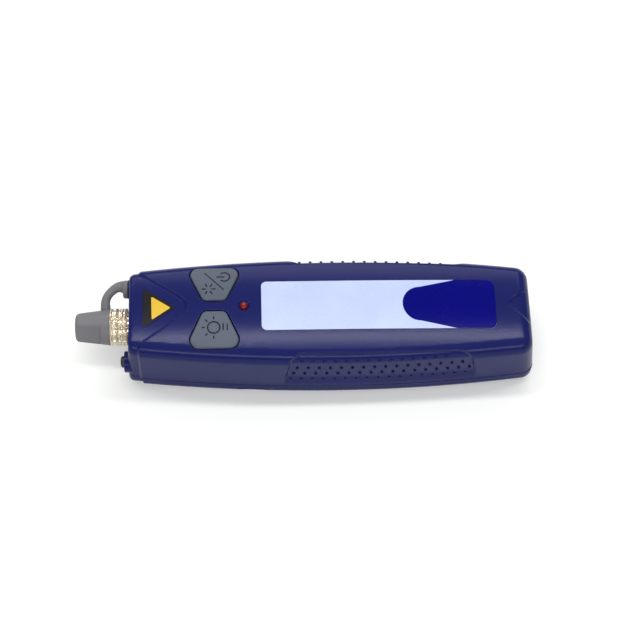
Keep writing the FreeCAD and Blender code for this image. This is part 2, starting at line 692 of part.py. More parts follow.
def battery_door():
    outer = rounded_form(0.0)
    zone = door_zone(DOOR_GAP)
    shell = outer.common(zone).cut(form(WALL, WALL, BODY_LENGTH - WALL))
    floor_edge_x = DOOR_EDGE_X - DOOR_EDGE_LEAN * (PARTING_HEIGHT - WALL)
    hook_bottom = WALL + FIT_GAP
    hook_top = hook_bottom + DOOR_HOOK_THICKNESS
    hook = box(floor_edge_x - DOOR_HOOK_LENGTH, floor_edge_x + DOOR_HOOK_LENGTH + 1,
               -DOOR_HOOK_HALF_WIDTH, DOOR_HOOK_HALF_WIDTH, hook_bottom, hook_top)
    hook_root = box(floor_edge_x + 1, floor_edge_x + DOOR_HOOK_LENGTH + 1,
                    -DOOR_HOOK_HALF_WIDTH, DOOR_HOOK_HALF_WIDTH, WALL / 2, hook_top)
    rail_bottom = RAIL_HEIGHT + RAIL_THICKNESS + RAIL_GAP
    rail = box(RAIL_FRONT_X, RAIL_BACK_X, TRAY_HALF_WIDTH + RAIL_GAP, FAR,
               rail_bottom, PARTING_HEIGHT - DOOR_GAP)
    return fused([shell, hook, hook_root, inside(rail), inside(mirrored(rail))])


def label_plate():
    top = form(LABEL_RECESS - LABEL_THICKNESS)
    return prism(label_outline(0.0), BOARD_TOP, HIGH).common(top).cut(form(LABEL_RECESS))


def nose_decal():
    """A blank three-cornered decal on the lowered nose."""
    plan = outline([
        (DECAL_FRONT_X, -DECAL_HALF_WIDTH, DECAL_CORNER),
        (DECAL_APEX_X, 0, DECAL_CORNER),
        (DECAL_FRONT_X, DECAL_HALF_WIDTH, DECAL_CORNER),
    ])
    top = form(STEP_DEPTH - DECAL_THICKNESS)
    return prism(plan, BOARD_TOP, HIGH).common(top).cut(form(STEP_DEPTH))


# ---------------------------------------------------------------- keys and indicator
def key():
    """The rubber key on the +y side: crowned like the shell, with a flange below the window."""
    window = key_window()
    low = PLUNGER_TOP - KEY_FLANGE_THICKNESS
    flange_inset = WALL + FIT_GAP
    floor = form(flange_inset + KEY_FLANGE_THICKNESS)
    cap = prism(window.makeOffset2D(-KEY_GAP), low, HIGH).common(form(-KEY_PROUD))
    rim = [edge for edge in cap.Edges if edge.BoundBox.ZMin > crown_height(KEY_CENTRE_X, KEY_OUTER_Y) - 1]
    cap = cap.makeFillet(KEY_ROUNDING, rim).cut(floor)
    flange = prism(window.makeOffset2D(KEY_FLANGE_WIDTH), low, HIGH)
    flange = flange.common(form(flange_inset)).cut(floor)
    stem_top = crown_height(KEY_CENTRE_X, KEY_Y) - WALL
    stem = post(KEY_CENTRE_X, KEY_Y, PLUNGER_TOP, stem_top, KEY_STEM_RADIUS)
    return fused([cap, flange, stem])


def tact_switch():
    half = SWITCH_SIDE / 2
    body = box(KEY_CENTRE_X - half, KEY_CENTRE_X + half, KEY_Y - half, KEY_Y + half,
               BOARD_TOP, SWITCH_TOP)
    well = post(KEY_CENTRE_X, KEY_Y, SWITCH_TOP - SWITCH_WELL_DEPTH, SWITCH_TOP + 1,
                PLUNGER_RADIUS + FIT_GAP)
    return body.cut(well)


def plunger():
    return post(KEY_CENTRE_X, KEY_Y, SWITCH_TOP - PLUNGER_SUNK, PLUNGER_TOP, PLUNGER_RADIUS)


def indicator_led():
    dome_z = crown_height(LED_X, 0) + LED_PROUD - LED_RADIUS
    flange_top = crown_height(LED_X, 0) - WALL - FIT_GAP
    flange_bottom = flange_top - LED_FLANGE_THICKNESS
    leads = [post(LED_X, y, BOARD_TOP, flange_top, LEAD_RADIUS) for y in (-LEAD_PITCH, LEAD_PITCH)]
    return fused([
        post(LED_X, 0, flange_bottom, dome_z, LED_RADIUS),
        Part.makeSphere(LED_RADIUS, Vector(LED_X, 0, dome_z)),
        post(LED_X, 0, flange_bottom, flange_top, LED_RADIUS + LED_FLANGE_WIDTH),
    ] + leads)


# ---------------------------------------------------------------- optical port and laser
def port_adapter():
    sleeve_x = BARREL_TIP_X + PORT_LIP
    sleeve_end_x = sleeve_x + SLEEVE_LENGTH + SLIDING_GAP
    bore = SLEEVE_RADIUS + SLIDING_GAP
    front_x = PORT_FRONT_X + RING_FACE
    return turned([
        (BARREL_TIP_X, FERRULE_RADIUS + SLIDING_GAP), (sleeve_x, FERRULE_RADIUS + SLIDING_GAP),
        (sleeve_x, bore), (sleeve_end_x, bore),
        (sleeve_end_x, LIGHT_BORE_RADIUS), (SPIGOT_END_X, LIGHT_BORE_RADIUS),
        (SPIGOT_END_X, SPIGOT_RADIUS), (SPIGOT_X, SPIGOT_RADIUS),
        (SPIGOT_X, FLANGE_RADIUS), (FLANGE_X, FLANGE_RADIUS),
        (FLANGE_X, THREAD_RADIUS), (front_x, THREAD_RADIUS),
        (front_x, BARREL_FRONT_RADIUS), (BARREL_TIP_X, BARREL_FRONT_RADIUS),
    ])


def ring(x0, x1, bore, face_bore):
    """A round nut with chamfered rims, whose front face may close down to a smaller bore."""
    c = RING_CHAMFER
    face_x = x0 + RING_FACE if face_bore < bore else x0
    profile = [
        (x0, RING_RADIUS - c), (x0 + c, RING_RADIUS), (x1 - c, RING_RADIUS), (x1, RING_RADIUS - c),
        (x1, bore),
    ]
    if face_bore < bore:
        profile += [(face_x, bore), (face_x, face_bore)]
    return turned(profile + [(x0, face_bore)])


def lock_ring():
    bore = THREAD_RADIUS + SLIDING_GAP
    return ring(-LOCK_RING_LENGTH, -RING_GAP, bore, bore)


def knurled_ring():
    return ring(PORT_FRONT_X, -LOCK_RING_LENGTH - RING_GAP,
                THREAD_RADIUS + SLIDING_GAP, BARREL_FRONT_RADIUS + SLIDING_GAP)


def ferrule_sleeve():
    x0 = BARREL_TIP_X + PORT_LIP + SLIDING_GAP / 2
    tube = rod(x0, x0 + SLEEVE_LENGTH, SLEEVE_RADIUS).cut(rod(x0 - 1, x0 + SLEEVE_LENGTH + 1, FERRULE_RADIUS))
    slot = box(x0 - 1, x0 + SLEEVE_LENGTH + 1, -SLEEVE_SLOT / 2, SLEEVE_SLOT / 2,
               PORT_HEIGHT, PORT_HEIGHT + SLEEVE_RADIUS + 1)
    return tube.cut(slot)


def laser_barrel():
    spigot = SPIGOT_RADIUS + SLIDING_GAP
    lens = LENS_RADIUS + SLIDING_GAP
    diode = DIODE_FLANGE_RADIUS + SLIDING_GAP
    return turned([
        (SPIGOT_X, spigot), (SPIGOT_END_X + RING_GAP, spigot),
        (SPIGOT_END_X + RING_GAP, LENS_RADIUS - LENS_STEP), (LENS_X, LENS_RADIUS - LENS_STEP),
        (LENS_X, lens), (DIODE_X, lens),
        (DIODE_X, diode), (LASER_BARREL_END_X, diode),
        (LASER_BARREL_END_X, LASER_BARREL_RADIUS), (SPIGOT_X, LASER_BARREL_RADIUS),
    ])


def focus_lens():
    """A plano-convex lens, its flat face to the diode."""
    edge = LENS_THICKNESS - LENS_SAG
    curve = (LENS_RADIUS**2 + LENS_SAG**2) / (2 * LENS_SAG)
    disc = rod(LENS_X, LENS_X + LENS_THICKNESS, LENS_RADIUS)
    ball = Part.makeSphere(curve, Vector(LENS_X + curve, 0, PORT_HEIGHT))
    slab = rod(LENS_X + LENS_SAG, LENS_X + LENS_SAG + edge, LENS_RADIUS)
    return fused([disc.common(ball), slab])


def lens_ring():
    x0 = LENS_X + LENS_THICKNESS
    return rod(x0, x0 + LENS_RING_LENGTH, LENS_RADIUS).cut(
        rod(x0 - 1, x0 + LENS_RING_LENGTH + 1, LENS_RADIUS - LENS_STEP))


def laser_diode():
    back_x = DIODE_X + DIODE_FLANGE_THICKNESS
    bend_x = LASER_BARREL_END_X + LEAD_CLEARANCE
    solids = [
        rod(DIODE_X - DIODE_CAN_LENGTH, back_x, DIODE_CAN_RADIUS),
        rod(DIODE_X, back_x, DIODE_FLANGE_RADIUS),
    ]
    for y in (-LEAD_PITCH, 0, LEAD_PITCH):
        solids.append(rod(back_x - 0.5, bend_x + LEAD_RADIUS, LEAD_RADIUS, y))
        solids.append(post(bend_x, y, PORT_HEIGHT - LEAD_RADIUS, BOARD_BOTTOM, LEAD_RADIUS))
    return fused(solids)


def diode_ring():
    x0 = DIODE_X + DIODE_FLANGE_THICKNESS
    return rod(x0, x0 + DIODE_RING_LENGTH, DIODE_FLANGE_RADIUS).cut(
        rod(x0 - 1, x0 + DIODE_RING_LENGTH + 1, DIODE_CAN_RADIUS))


# ---------------------------------------------------------------- dust cap
def dust_cap():
    collar_x = CAP_BACK_X - CAP_COLLAR_LENGTH
    bore_radius = BARREL_FRONT_RADIUS + SLIDING_GAP
    bore_end_x = BARREL_TIP_X - CAP_BORE_CLEARANCE
    cap = turned([
        (CAP_BACK_X, bore_radius), (CAP_BACK_X, CAP_MOUTH_RADIUS),
        (CAP_TIP_X, CAP_TIP_RADIUS), (CAP_TIP_X, 0), (bore_end_x, 0), (bore_end_x, bore_radius),
    ])
    cap = cap.makeFillet(CAP_TIP_ROUNDING, flat_edges(cap, CAP_TIP_X))
    corners = [(collar_x, CAP_FLAT_ROOT), (collar_x, FAR), (CAP_TIP_X - 1, FAR),
               (CAP_TIP_X - 1, CAP_FLAT_TIP)]
    points = [Vector(x, y, -FAR) for x, y in corners]
    flat = Part.Face(Part.makePolygon(points + points[:1])).extrude(Vector(0, 0, 2 * FAR))
    flats = flat.fuse(mirrored(flat))
    flats.rotate(Vector(0, 0, 0), Vector(1, 0, 0), -CAP_TURN)
    flats.translate(Vector(0, 0, PORT_HEIGHT))
    return cap.cut(flats)


def cap_strap():
    """The strap from the cap's shoulder to an eye that is pegged into the nose."""
    anchor = Vector(0, STRAP_ANCHOR_Y, STRAP_ANCHOR_Z - PORT_HEIGHT)
    out = Vector(anchor).normalize()

    def at(x, distance):
        return Vector(x, 0, PORT_HEIGHT) + out * distance

    root_x = CAP_BACK_X - STRAP_ROOT_FROM_CAP_END
    route = [
        at(root_x, CAP_MOUTH_RADIUS + STRAP_GAP),
        at(root_x + STRAP_LEAN, STRAP_CORNER_OUT),
        at(-EYE_THICKNESS / 2, STRAP_END_OUT),
    ]
    start, corner, end = route
    back = (start - corner).normalize()
    forth = (end - corner).normalize()
    half = back.getAngle(forth) / 2
    reach = STRAP_BEND_RADIUS / math.tan(half)
    middle = (back + forth).normalize() * (STRAP_BEND_RADIUS / math.sin(half) - STRAP_BEND_RADIUS)
    spine = Part.Wire([
        Part.makeLine(start, corner + back * reach),
        Part.Arc(corner + back * reach, corner + middle, corner + forth * reach).toShape(),
        Part.makeLine(corner + forth * reach, end),
    ])
    profile = Part.Wire(Part.Circle(start, (corner - start).normalize(), STRAP_RADIUS).toShape())
    tube = spine.makePipeShell([profile], True, False)
    eye = rod(-EYE_THICKNESS, 0, EYE_RADIUS, STRAP_ANCHOR_Y, STRAP_ANCHOR_Z)
    peg = rod(-EYE_THICKNESS, WALL + SLIDING_GAP, PEG_RADIUS, STRAP_ANCHOR_Y, STRAP_ANCHOR_Z)
    head = rod(WALL + SLIDING_GAP, WALL + SLIDING_GAP + PEG_HEAD_LENGTH, PEG_HEAD_RADIUS,
               STRAP_ANCHOR_Y, STRAP_ANCHOR_Z)
    return fused([tube, eye, peg, head])


# ---------------------------------------------------------------- board
def circuit_board():
    board = box(BOARD_FRONT_X, BOARD_BACK_X, -BOARD_HALF_WIDTH, BOARD_HALF_WIDTH,
                BOARD_BOTTOM, BOARD_TOP)
    return board.cut([post(x, y, 0, HIGH, CLEAR_RADIUS) for x, y in BOARD_SCREWS])


def driver_chip():
    return box(CHIP_X - CHIP_LENGTH / 2, CHIP_X + CHIP_LENGTH / 2, -CHIP_WIDTH / 2, CHIP_WIDTH / 2,
               BOARD_TOP, BOARD_TOP + CHIP_HEIGHT)


def capacitor():
    return post(CAPACITOR_X, CAPACITOR_Y, BOARD_TOP, BOARD_TOP + CAPACITOR_HEIGHT, CAPACITOR_RADIUS)


def trimmer():
    half = TRIMMER_SIDE / 2
    body = box(TRIMMER_X - half, TRIMMER_X + half, TRIMMER_Y - half, TRIMMER_Y + half,
               BOARD_TOP, BOARD_TOP + TRIMMER_HEIGHT)
    dial_top = BOARD_TOP + TRIMMER_HEIGHT
    slot = box(TRIMMER_X - half / 2, TRIMMER_X + half / 2, TRIMMER_Y - half / 8, TRIMMER_Y + half / 8,
               dial_top - TRIMMER_SLOT_DEPTH, dial_top + 1)
    return body.cut(slot)


# ---------------------------------------------------------------- batteries
def battery_tray():
    back_x = TRAY_BACK_X + TRAY_END_WALL
    outer = box(TRAY_FRONT_X, back_x, -TRAY_HALF_WIDTH, TRAY_HALF_WIDTH, RAIL_HEIGHT, TRAY_TOP)
    feet = box(TRAY_FRONT_X, back_x, -TRAY_FOOT_HALF_WIDTH, TRAY_FOOT_HALF_WIDTH,
               TRAY_FOOT_HEIGHT, TRAY_TOP)
    ledge_y = TRAY_HALF_WIDTH + RAIL_REACH
    ledges = box(RAIL_FRONT_X, RAIL_BACK_X, -ledge_y, ledge_y, RAIL_HEIGHT, RAIL_HEIGHT + RAIL_THICKNESS)
    bay = box(CELL_END_X, TRAY_BACK_X, -TRAY_INNER_HALF_WIDTH, TRAY_INNER_HALF_WIDTH, -1, TRAY_CEILING)
    leg = CONTACT_LEG_HALF_WIDTH + FIT_GAP
    slots = [box(CELL_END_X, CELL_END_X + CONTACT_THICKNESS + FIT_GAP, y - leg, y + leg,
                 BAY_LOW, TRAY_TOP + 1) for y in (-CELL_Y, CELL_Y)]
    holes = [post(x, y, BAY_LOW, HIGH, CLEAR_RADIUS) for x, y in TRAY_SCREWS]
    return fused([outer, feet, ledges]).cut([bay] + slots + holes)


def battery():
    """An AA cell on the +y side, its nipple towards the nose."""
    nipple_x = CELL_END_X + CONTACT_THICKNESS
    can_x = nipple_x + CELL_NIPPLE_LENGTH
    can = rod(can_x, can_x + CELL_LENGTH, CELL_RADIUS, CELL_Y, CELL_AXIS_HEIGHT)
    nipple = rod(nipple_x, can_x + 1, CELL_NIPPLE_RADIUS, CELL_Y, CELL_AXIS_HEIGHT)
    return fused([can, nipple])


def turned_end_for_end(shape):
    """A shape in the battery bay, turned half round about the bay's upright axis."""
    turned_shape = shape.copy()
    turned_shape.rotate(Vector((CELL_END_X + TRAY_BACK_X) / 2, 0, 0), Vector(0, 0, 1), 180)
    return turned_shape


def front_contact():
    """The contact plate at the nose end of the +y cell, with its leg up to the board."""
    x0, x1 = CELL_END_X, CELL_END_X + CONTACT_THICKNESS
    low, high = CELL_AXIS_HEIGHT - CONTACT_HEIGHT / 2, CELL_AXIS_HEIGHT + CONTACT_HEIGHT / 2
    plate = box(x0, x1, CELL_Y - CONTACT_HALF_WIDTH, CELL_Y + CONTACT_HALF_WIDTH, low, high)
    leg = box(x0, x1, CELL_Y - CONTACT_LEG_HALF_WIDTH, CELL_Y + CONTACT_LEG_HALF_WIDTH, low, BOARD_BOTTOM)
    return fused([plate, leg])


def contact_bridge():
    half = CELL_Y + CONTACT_HALF_WIDTH
    low, high = CELL_AXIS_HEIGHT - CONTACT_HEIGHT / 2, CELL_AXIS_HEIGHT + CONTACT_HEIGHT / 2
    return box(TRAY_BACK_X - CONTACT_THICKNESS, TRAY_BACK_X, -half, half, low, high)


def tail_spring():
    """The conical spring between the bridge and the flat end of the +y cell.

    Its wire is bent in short straight runs, SPRING_SIDES to a turn.
    """
    start_x = TRAY_BACK_X - CONTACT_THICKNESS - SPRING_WIRE_RADIUS
    cell_end_x = CELL_END_X + CONTACT_THICKNESS + CELL_NIPPLE_LENGTH + CELL_LENGTH
    run = start_x - cell_end_x - SPRING_WIRE_RADIUS
    count = round(SPRING_TURNS * SPRING_SIDES)
    bends = []
    for i in range(count + 1):
        share = i / count
        radius = SPRING_BASE_RADIUS + (SPRING_TIP_RADIUS - SPRING_BASE_RADIUS) * share
        angle = 2 * math.pi * SPRING_TURNS * share
        bends.append(Vector(start_x - run * share, CELL_Y + radius * math.cos(angle),
                            CELL_AXIS_HEIGHT + radius * math.sin(angle)))
    along = (bends[1] - bends[0]).normalize()
    profile = Part.Wire(Part.Circle(bends[0], along, SPRING_WIRE_RADIUS).toShape())
    return Part.makePolygon(bends).makePipeShell([profile], True, False, 1)


# ---------------------------------------------------------------- screws
def screw(x, y, head_z, length):
    """A pan-head screw driven upwards, its head's upper face at head_z."""
    head = post(x, y, head_z - HEAD_HEIGHT, head_z, HEAD_RADIUS)
    return fused([head, post(x, y, head_z - HEAD_HEIGHT / 2, head_z + length, SHANK_RADIUS)])


def screw_group(places, head_z, length):
    return Part.makeCompound([screw(x, y, head_z, length) for x, y in places])


def lug_screw():
    head = rod(-LUG_HEIGHT - HEAD_HEIGHT, -LUG_HEIGHT, HEAD_RADIUS, LUG_Y, LUG_Z)
    head = head.makeFillet(HEAD_HEIGHT * 0.7, flat_edges(head, -LUG_HEIGHT - HEAD_HEIGHT))
    shank = rod(-LUG_HEIGHT - HEAD_HEIGHT / 2, LUG_SCREW_LENGTH - LUG_HEIGHT, SHANK_RADIUS, LUG_Y, LUG_Z)
    return fused([head, shank])


# ---------------------------------------------------------------- the whole
def parts():
    power_key = key()
    switch = tact_switch()
    switch_plunger = plunger()
    cell = battery()
    contact = front_contact()
    spring = tail_spring()
    return {
        "front_shell": front_shell(),
        "rear_shell": rear_shell(),
        "battery_door": battery_door(),
        "label_plate": label_plate(),
        "nose_decal": nose_decal(),
        "power_key": power_key,
        "mode_key": mirrored(power_key),
        "power_plunger": switch_plunger,
        "mode_plunger": mirrored(switch_plunger),
        "power_switch": switch,
        "mode_switch": mirrored(switch),
        "indicator_led": indicator_led(),
        "circuit_board": circuit_board(),
        "driver_chip": driver_chip(),
        "capacitor": capacitor(),
        "trimmer": trimmer(),
        "port_adapter": port_adapter(),
        "lock_ring": lock_ring(),
        "knurled_ring": knurled_ring(),
        "ferrule_sleeve": ferrule_sleeve(),
        "laser_barrel": laser_barrel(),
        "focus_lens": focus_lens(),
        "lens_ring": lens_ring(),
        "laser_diode": laser_diode(),
        "diode_ring": diode_ring(),
        "dust_cap": dust_cap(),
        "cap_strap": cap_strap(),
        "lug_screw": lug_screw(),
        "battery_tray": battery_tray(),
        "battery_far": cell,
        "battery_near": turned_end_for_end(cell),
        "positive_contact": contact,
        "negative_contact": mirrored(contact),
        "contact_bridge": contact_bridge(),
        "tail_spring": spring,
        "front_spring": turned_end_for_end(spring),
        "housing_screws": screw_group(HOUSING_SCREWS, HOUSING_SCREW_BOTTOM,
                                      HOUSING_SCREW_TOP - HOUSING_SCREW_BOTTOM),
        "board_screws": screw_group(BOARD_SCREWS, BOARD_BOTTOM, BOARD_SCREW_LENGTH),
        "tray_screws": screw_group(TRAY_SCREWS, TRAY_CEILING, TRAY_SCREW_LENGTH),
    }


def main():
    os.makedirs("parts", exist_ok=True)
    middle = (BODY_LENGTH + CAP_TIP_X) / 2
    for name, shape in parts().items():
        shape.translate(Vector(-middle, 0, 0))
        shape.exportStep(f"parts/{name}.step")


main()
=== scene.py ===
import json
import math

import bmesh
import bpy
import numpy as np
from mathutils import Matrix, Vector, kdtree
from mathutils.geometry import delaunay_2d_cdt


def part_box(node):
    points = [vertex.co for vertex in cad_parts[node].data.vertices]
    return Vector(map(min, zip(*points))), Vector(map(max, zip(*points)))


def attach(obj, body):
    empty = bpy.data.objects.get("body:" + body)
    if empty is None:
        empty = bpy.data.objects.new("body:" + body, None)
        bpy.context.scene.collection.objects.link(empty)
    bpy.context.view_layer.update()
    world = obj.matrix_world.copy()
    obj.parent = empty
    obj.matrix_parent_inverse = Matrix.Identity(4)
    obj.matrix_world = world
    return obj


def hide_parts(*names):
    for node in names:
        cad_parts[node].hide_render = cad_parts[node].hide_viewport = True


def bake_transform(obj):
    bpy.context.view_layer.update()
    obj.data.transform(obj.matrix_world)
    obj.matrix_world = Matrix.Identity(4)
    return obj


# ------------------------------------------------------------------------------------------------
# The tester as it was engineered: its solids, bodies and joints, in metres. x runs from the port
# to the butt and z out of the face with the keys.
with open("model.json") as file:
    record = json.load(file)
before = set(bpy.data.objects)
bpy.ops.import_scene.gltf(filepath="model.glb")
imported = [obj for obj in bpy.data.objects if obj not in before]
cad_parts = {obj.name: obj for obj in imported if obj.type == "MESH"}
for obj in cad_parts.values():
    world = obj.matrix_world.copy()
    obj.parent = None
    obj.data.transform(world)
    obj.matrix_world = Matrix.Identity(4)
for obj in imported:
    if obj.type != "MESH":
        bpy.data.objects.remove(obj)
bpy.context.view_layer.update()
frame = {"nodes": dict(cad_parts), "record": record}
scene = bpy.context.scene
scene.view_settings.view_transform = "Standard"


# ------------------------------------------------------------------------------------------------
# Camera: a long lens, looking down at the keys from the near side.
AIM = Vector((0.005764, 0.001909, 0.016))
AZIMUTH = math.radians(-4.482)
ELEVATION = math.radians(61.874)
ROLL = math.radians(3.181)
DISTANCE = 0.71865
LENS = 107.07

away = Vector((
    math.sin(AZIMUTH) * math.cos(ELEVATION),
    -math.cos(AZIMUTH) * math.cos(ELEVATION),
    math.sin(ELEVATION),
))
level = (-away).cross(Vector((0, 0, 1))).normalized()
upright = level.cross(-away)
across = level * math.cos(ROLL) + upright * math.sin(ROLL)
over = upright * math.cos(ROLL) - level * math.sin(ROLL)
camera_data = bpy.data.cameras.new("camera")
camera_data.lens = LENS
camera_data.sensor_width = 36.0
camera = bpy.data.objects.new("camera", camera_data)
turn = Matrix((across, over, away)).transposed().to_4x4()
camera.matrix_world = Matrix.Translation(AIM + away * DISTANCE) @ turn
scene.collection.objects.link(camera)
scene.camera = camera


# ------------------------------------------------------------------------------------------------
# Studio: a white table that keeps only the tester's shadow, a sky that is brightest overhead, two
# long strips that draw thin lights along the near edge, and a window on the far side.
LIT_POINT = Vector((0, 0, 0.02))
TABLE_LIFT, GLOSSY_SHARE = 0.27, 0.15
SKY_LOW, SKY_HIGH = 0.22, 0.5


def soft_light(name, place, size, power):
    lamp_data = bpy.data.lights.new(name, "AREA")
    lamp_data.shape = "RECTANGLE"
    lamp_data.size, lamp_data.size_y = size
    lamp_data.energy = power
    lamp = bpy.data.objects.new(name, lamp_data)
    lamp.location = place
    lamp.rotation_euler = (LIT_POINT - Vector(place)).to_track_quat("-Z", "Y").to_euler()
    scene.collection.objects.link(lamp)


table_mesh = bpy.data.meshes.new("table")
table_mesh.from_pydata([(-3, -3, 0), (3, -3, 0), (3, 3, 0), (-3, 3, 0)], [], [(0, 1, 2, 3)])
table = bpy.data.objects.new("table", table_mesh)
scene.collection.objects.link(table)

# The table glows a little for the eye and for clear things, and less in gloss, to come out white.
table_white = bpy.data.materials.new("table_white")
table_white.use_nodes = True
nodes, links = table_white.node_tree.nodes, table_white.node_tree.links
card = nodes["Principled BSDF"]
card.inputs["Base Color"].default_value = (0.78, 0.80, 0.76, 1)
card.inputs["Roughness"].default_value = 0.9
card.inputs["Specular IOR Level"].default_value = 0.1
card.inputs["Emission Color"].default_value = (0.97, 0.95, 1.0, 1)
seen = nodes.new("ShaderNodeLightPath")
mirrored = nodes.new("ShaderNodeMath")
mirrored.operation = "MULTIPLY_ADD"
mirrored.inputs[1].default_value = GLOSSY_SHARE
links.new(seen.outputs["Is Glossy Ray"], mirrored.inputs[0])
links.new(seen.outputs["Is Transmission Ray"], mirrored.inputs[2])
direct = nodes.new("ShaderNodeMath")
direct.operation = "MAXIMUM"
links.new(seen.outputs["Is Camera Ray"], direct.inputs[0])
links.new(mirrored.outputs[0], direct.inputs[1])
lift = nodes.new("ShaderNodeMath")
lift.operation = "MULTIPLY"
lift.inputs[1].default_value = TABLE_LIFT
links.new(direct.outputs[0], lift.inputs[0])
links.new(lift.outputs[0], card.inputs["Emission Strength"])
table_mesh.materials.append(table_white)

# The sky is brightest overhead, and white where it is seen past the table.
world = bpy.data.worlds.new("studio")
scene.world = world
world.use_nodes = True
nodes, links = world.node_tree.nodes, world.node_tree.links
sky = nodes["Background"]
direction = nodes.new("ShaderNodeTexCoord")
parts = nodes.new("ShaderNodeSeparateXYZ")
links.new(direction.outputs["Generated"], parts.inputs[0])
height = nodes.new("ShaderNodeMapRange")
height.inputs["From Min"].default_value = 0.1
height.inputs["From Max"].default_value = 0.9
height.inputs["To Min"].default_value = SKY_LOW
height.inputs["To Max"].default_value = SKY_HIGH
links.new(parts.outputs["Z"], height.inputs["Value"])
seen = nodes.new("ShaderNodeLightPath")
strength = nodes.new("ShaderNodeMath")
strength.operation = "MAXIMUM"
links.new(seen.outputs["Is Camera Ray"], strength.inputs[0])
links.new(height.outputs["Result"], strength.inputs[1])
links.new(strength.outputs[0], sky.inputs["Strength"])
sky.inputs["Color"].default_value = (1, 1, 1, 1)
soft_light("strip_over", (0.0, 0.16, 1.0), (1.7, 0.08), 6.5)
soft_light("strip_near", (0.0, -0.75, 0.42), (1.5, 0.14), 3.3)
soft_light("window", (0.0, 1.0, 0.68), (1.6, 0.45), 5.5)


# ------------------------------------------------------------------------------------------------
# The moulded front half of the housing: 2 mm of satin blue ABS, crowned and round-cornered, with
# V-shaped steps at both ends, windows for the keys, a seat for the label and recessed grips.
MM = 0.001
NOSE_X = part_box("rear_shell")[0].x / MM
BODY_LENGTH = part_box("battery_door")[1].x / MM - NOSE_X
WIDEST_AT = 78.0
NOSE_HALF_WIDTH, MIDDLE_HALF_WIDTH, BUTT_HALF_WIDTH = 17.2, 22.0, 17.3
NOSE_HEIGHT, MIDDLE_HEIGHT, BUTT_HEIGHT = 31.6, 32.0, 30.4
CROWN_RADIUS = 85.0
CORNER_RADIUS = 5.4
NOSE_ROUNDING, NOSE_LEAN = 2.0, 0.045
BUTT_ROUNDING, BUTT_LEAN = 4.4, 0.115
WALL = 2.0
SKIN_GAP = 0.95 * WALL
PARTING_HEIGHT = 8.2
RIM_HEIGHT = PARTING_HEIGHT + 0.3

STEP_DEPTH, STEP_WIDTH = 0.75, 1.35
NOSE_STEP_X, NOSE_STEP_CORNER = 5.3, 3.5
NOSE_V_HALF_WIDTH, NOSE_V_APEX_X, NOSE_V_TIP_RADIUS = 15.3, 26.8, 5.6
BUTT_V_HALF_WIDTH, BUTT_V_APEX_X, BUTT_V_TIP_RADIUS = 10.1, BODY_LENGTH - 12.2, 2.6
GRIP_DEPTH, GRIP_WIDTH, GRIP_FADE = 0.9, 1.4, 7.0
GRIP = (
    (56.2, -14.0, 0), (60.0, 5.0, 2.5), (64.0, 8.0, 3.0),
    (BODY_LENGTH - 25.3, 8.0, 7.0), (BODY_LENGTH - 19.3, -14.0, 0),
)
LABEL_X, LABEL_HALF_WIDTH, LABEL_CORNER, LABEL_DEPTH = (49.85, BODY_LENGTH - 15.45), 10.3, 2.15, 0.35
LABEL_SEAT_EDGE = 0.15
KEY_X, KEY_Y, KEY_HALF_LENGTHS, KEY_CORNERS = 32.6, (1.85, 17.15), (4.4, 11.2), (2.6, 3.6)
WINDOW_EDGE = 0.3
LAMP_X, LAMP_HOLE_RADIUS, LAMP_SINK_RADIUS, LAMP_SINK_DEPTH = 43.5, 1.65, 2.45, 0.5
PORT_HEIGHT, PORT_HOLE_RADIUS = 16.0, 5.0


def bulged(x, nose, middle, butt):
    front = x < WIDEST_AT
    share = (x - WIDEST_AT) / (np.where(front, 0.0, BODY_LENGTH) - WIDEST_AT)
    return middle + (np.where(front, nose, butt) - middle) * share**2


def corner_centre(x):
    """Where the long corner's rounding is centred at x, and how far the crown leans there."""
    y = bulged(x, NOSE_HALF_WIDTH, MIDDLE_HALF_WIDTH, BUTT_HALF_WIDTH) - CORNER_RADIUS
    lean = np.arcsin(y / (CROWN_RADIUS - CORNER_RADIUS))
    top = bulged(x, NOSE_HEIGHT, MIDDLE_HEIGHT, BUTT_HEIGHT)
    z = top - CROWN_RADIUS + (CROWN_RADIUS - CORNER_RADIUS) * np.cos(lean)
    return y, z, lean, top


def across_section(x, s):
    """The place and the tilt on the outline at x, after a length s from the middle of the crown."""
    y, z, lean, top = corner_centre(x)
    crown = CROWN_RADIUS * lean
    tilt = np.where(s < crown, s / CROWN_RADIUS, lean + (s - crown) / CORNER_RADIUS)
    tilt = np.minimum(tilt, math.pi / 2)
    drop = np.maximum(0, s - crown - CORNER_RADIUS * (math.pi / 2 - lean))
    on_crown = s < crown
    radius = np.where(on_crown, CROWN_RADIUS, CORNER_RADIUS)
    out = np.where(on_crown, 0, y) + radius * np.sin(tilt)
    up = np.where(on_crown, top - CROWN_RADIUS, z) + radius * np.cos(tilt) - drop
    return out, up, tilt


def length_to_rim(x, height=RIM_HEIGHT):
    y, z, lean, top = corner_centre(x)
    return CROWN_RADIUS * lean + CORNER_RADIUS * (math.pi / 2 - lean) + z - height


def length_to_side(x, y):
    """The length from the middle of the crown to a place y to its side."""
    centre, z, lean, top = corner_centre(x)
    on_crown = CROWN_RADIUS * np.arcsin(np.clip(y / CROWN_RADIUS, -1, 1))
    tilt = np.arcsin(np.clip((y - centre) / CORNER_RADIUS, -1, 1))
    on_corner = CROWN_RADIUS * lean + CORNER_RADIUS * (tilt - lean)
    return np.where(on_crown < CROWN_RADIUS * lean, on_crown, on_corner)


def end_starts(z):
    """Where the roundings of the nose and of the butt start at a height z."""
    nose = NOSE_LEAN * (z - PARTING_HEIGHT) + NOSE_ROUNDING
    butt = BODY_LENGTH - BUTT_LEAN * (z - PARTING_HEIGHT) - BUTT_ROUNDING
    return nose, butt


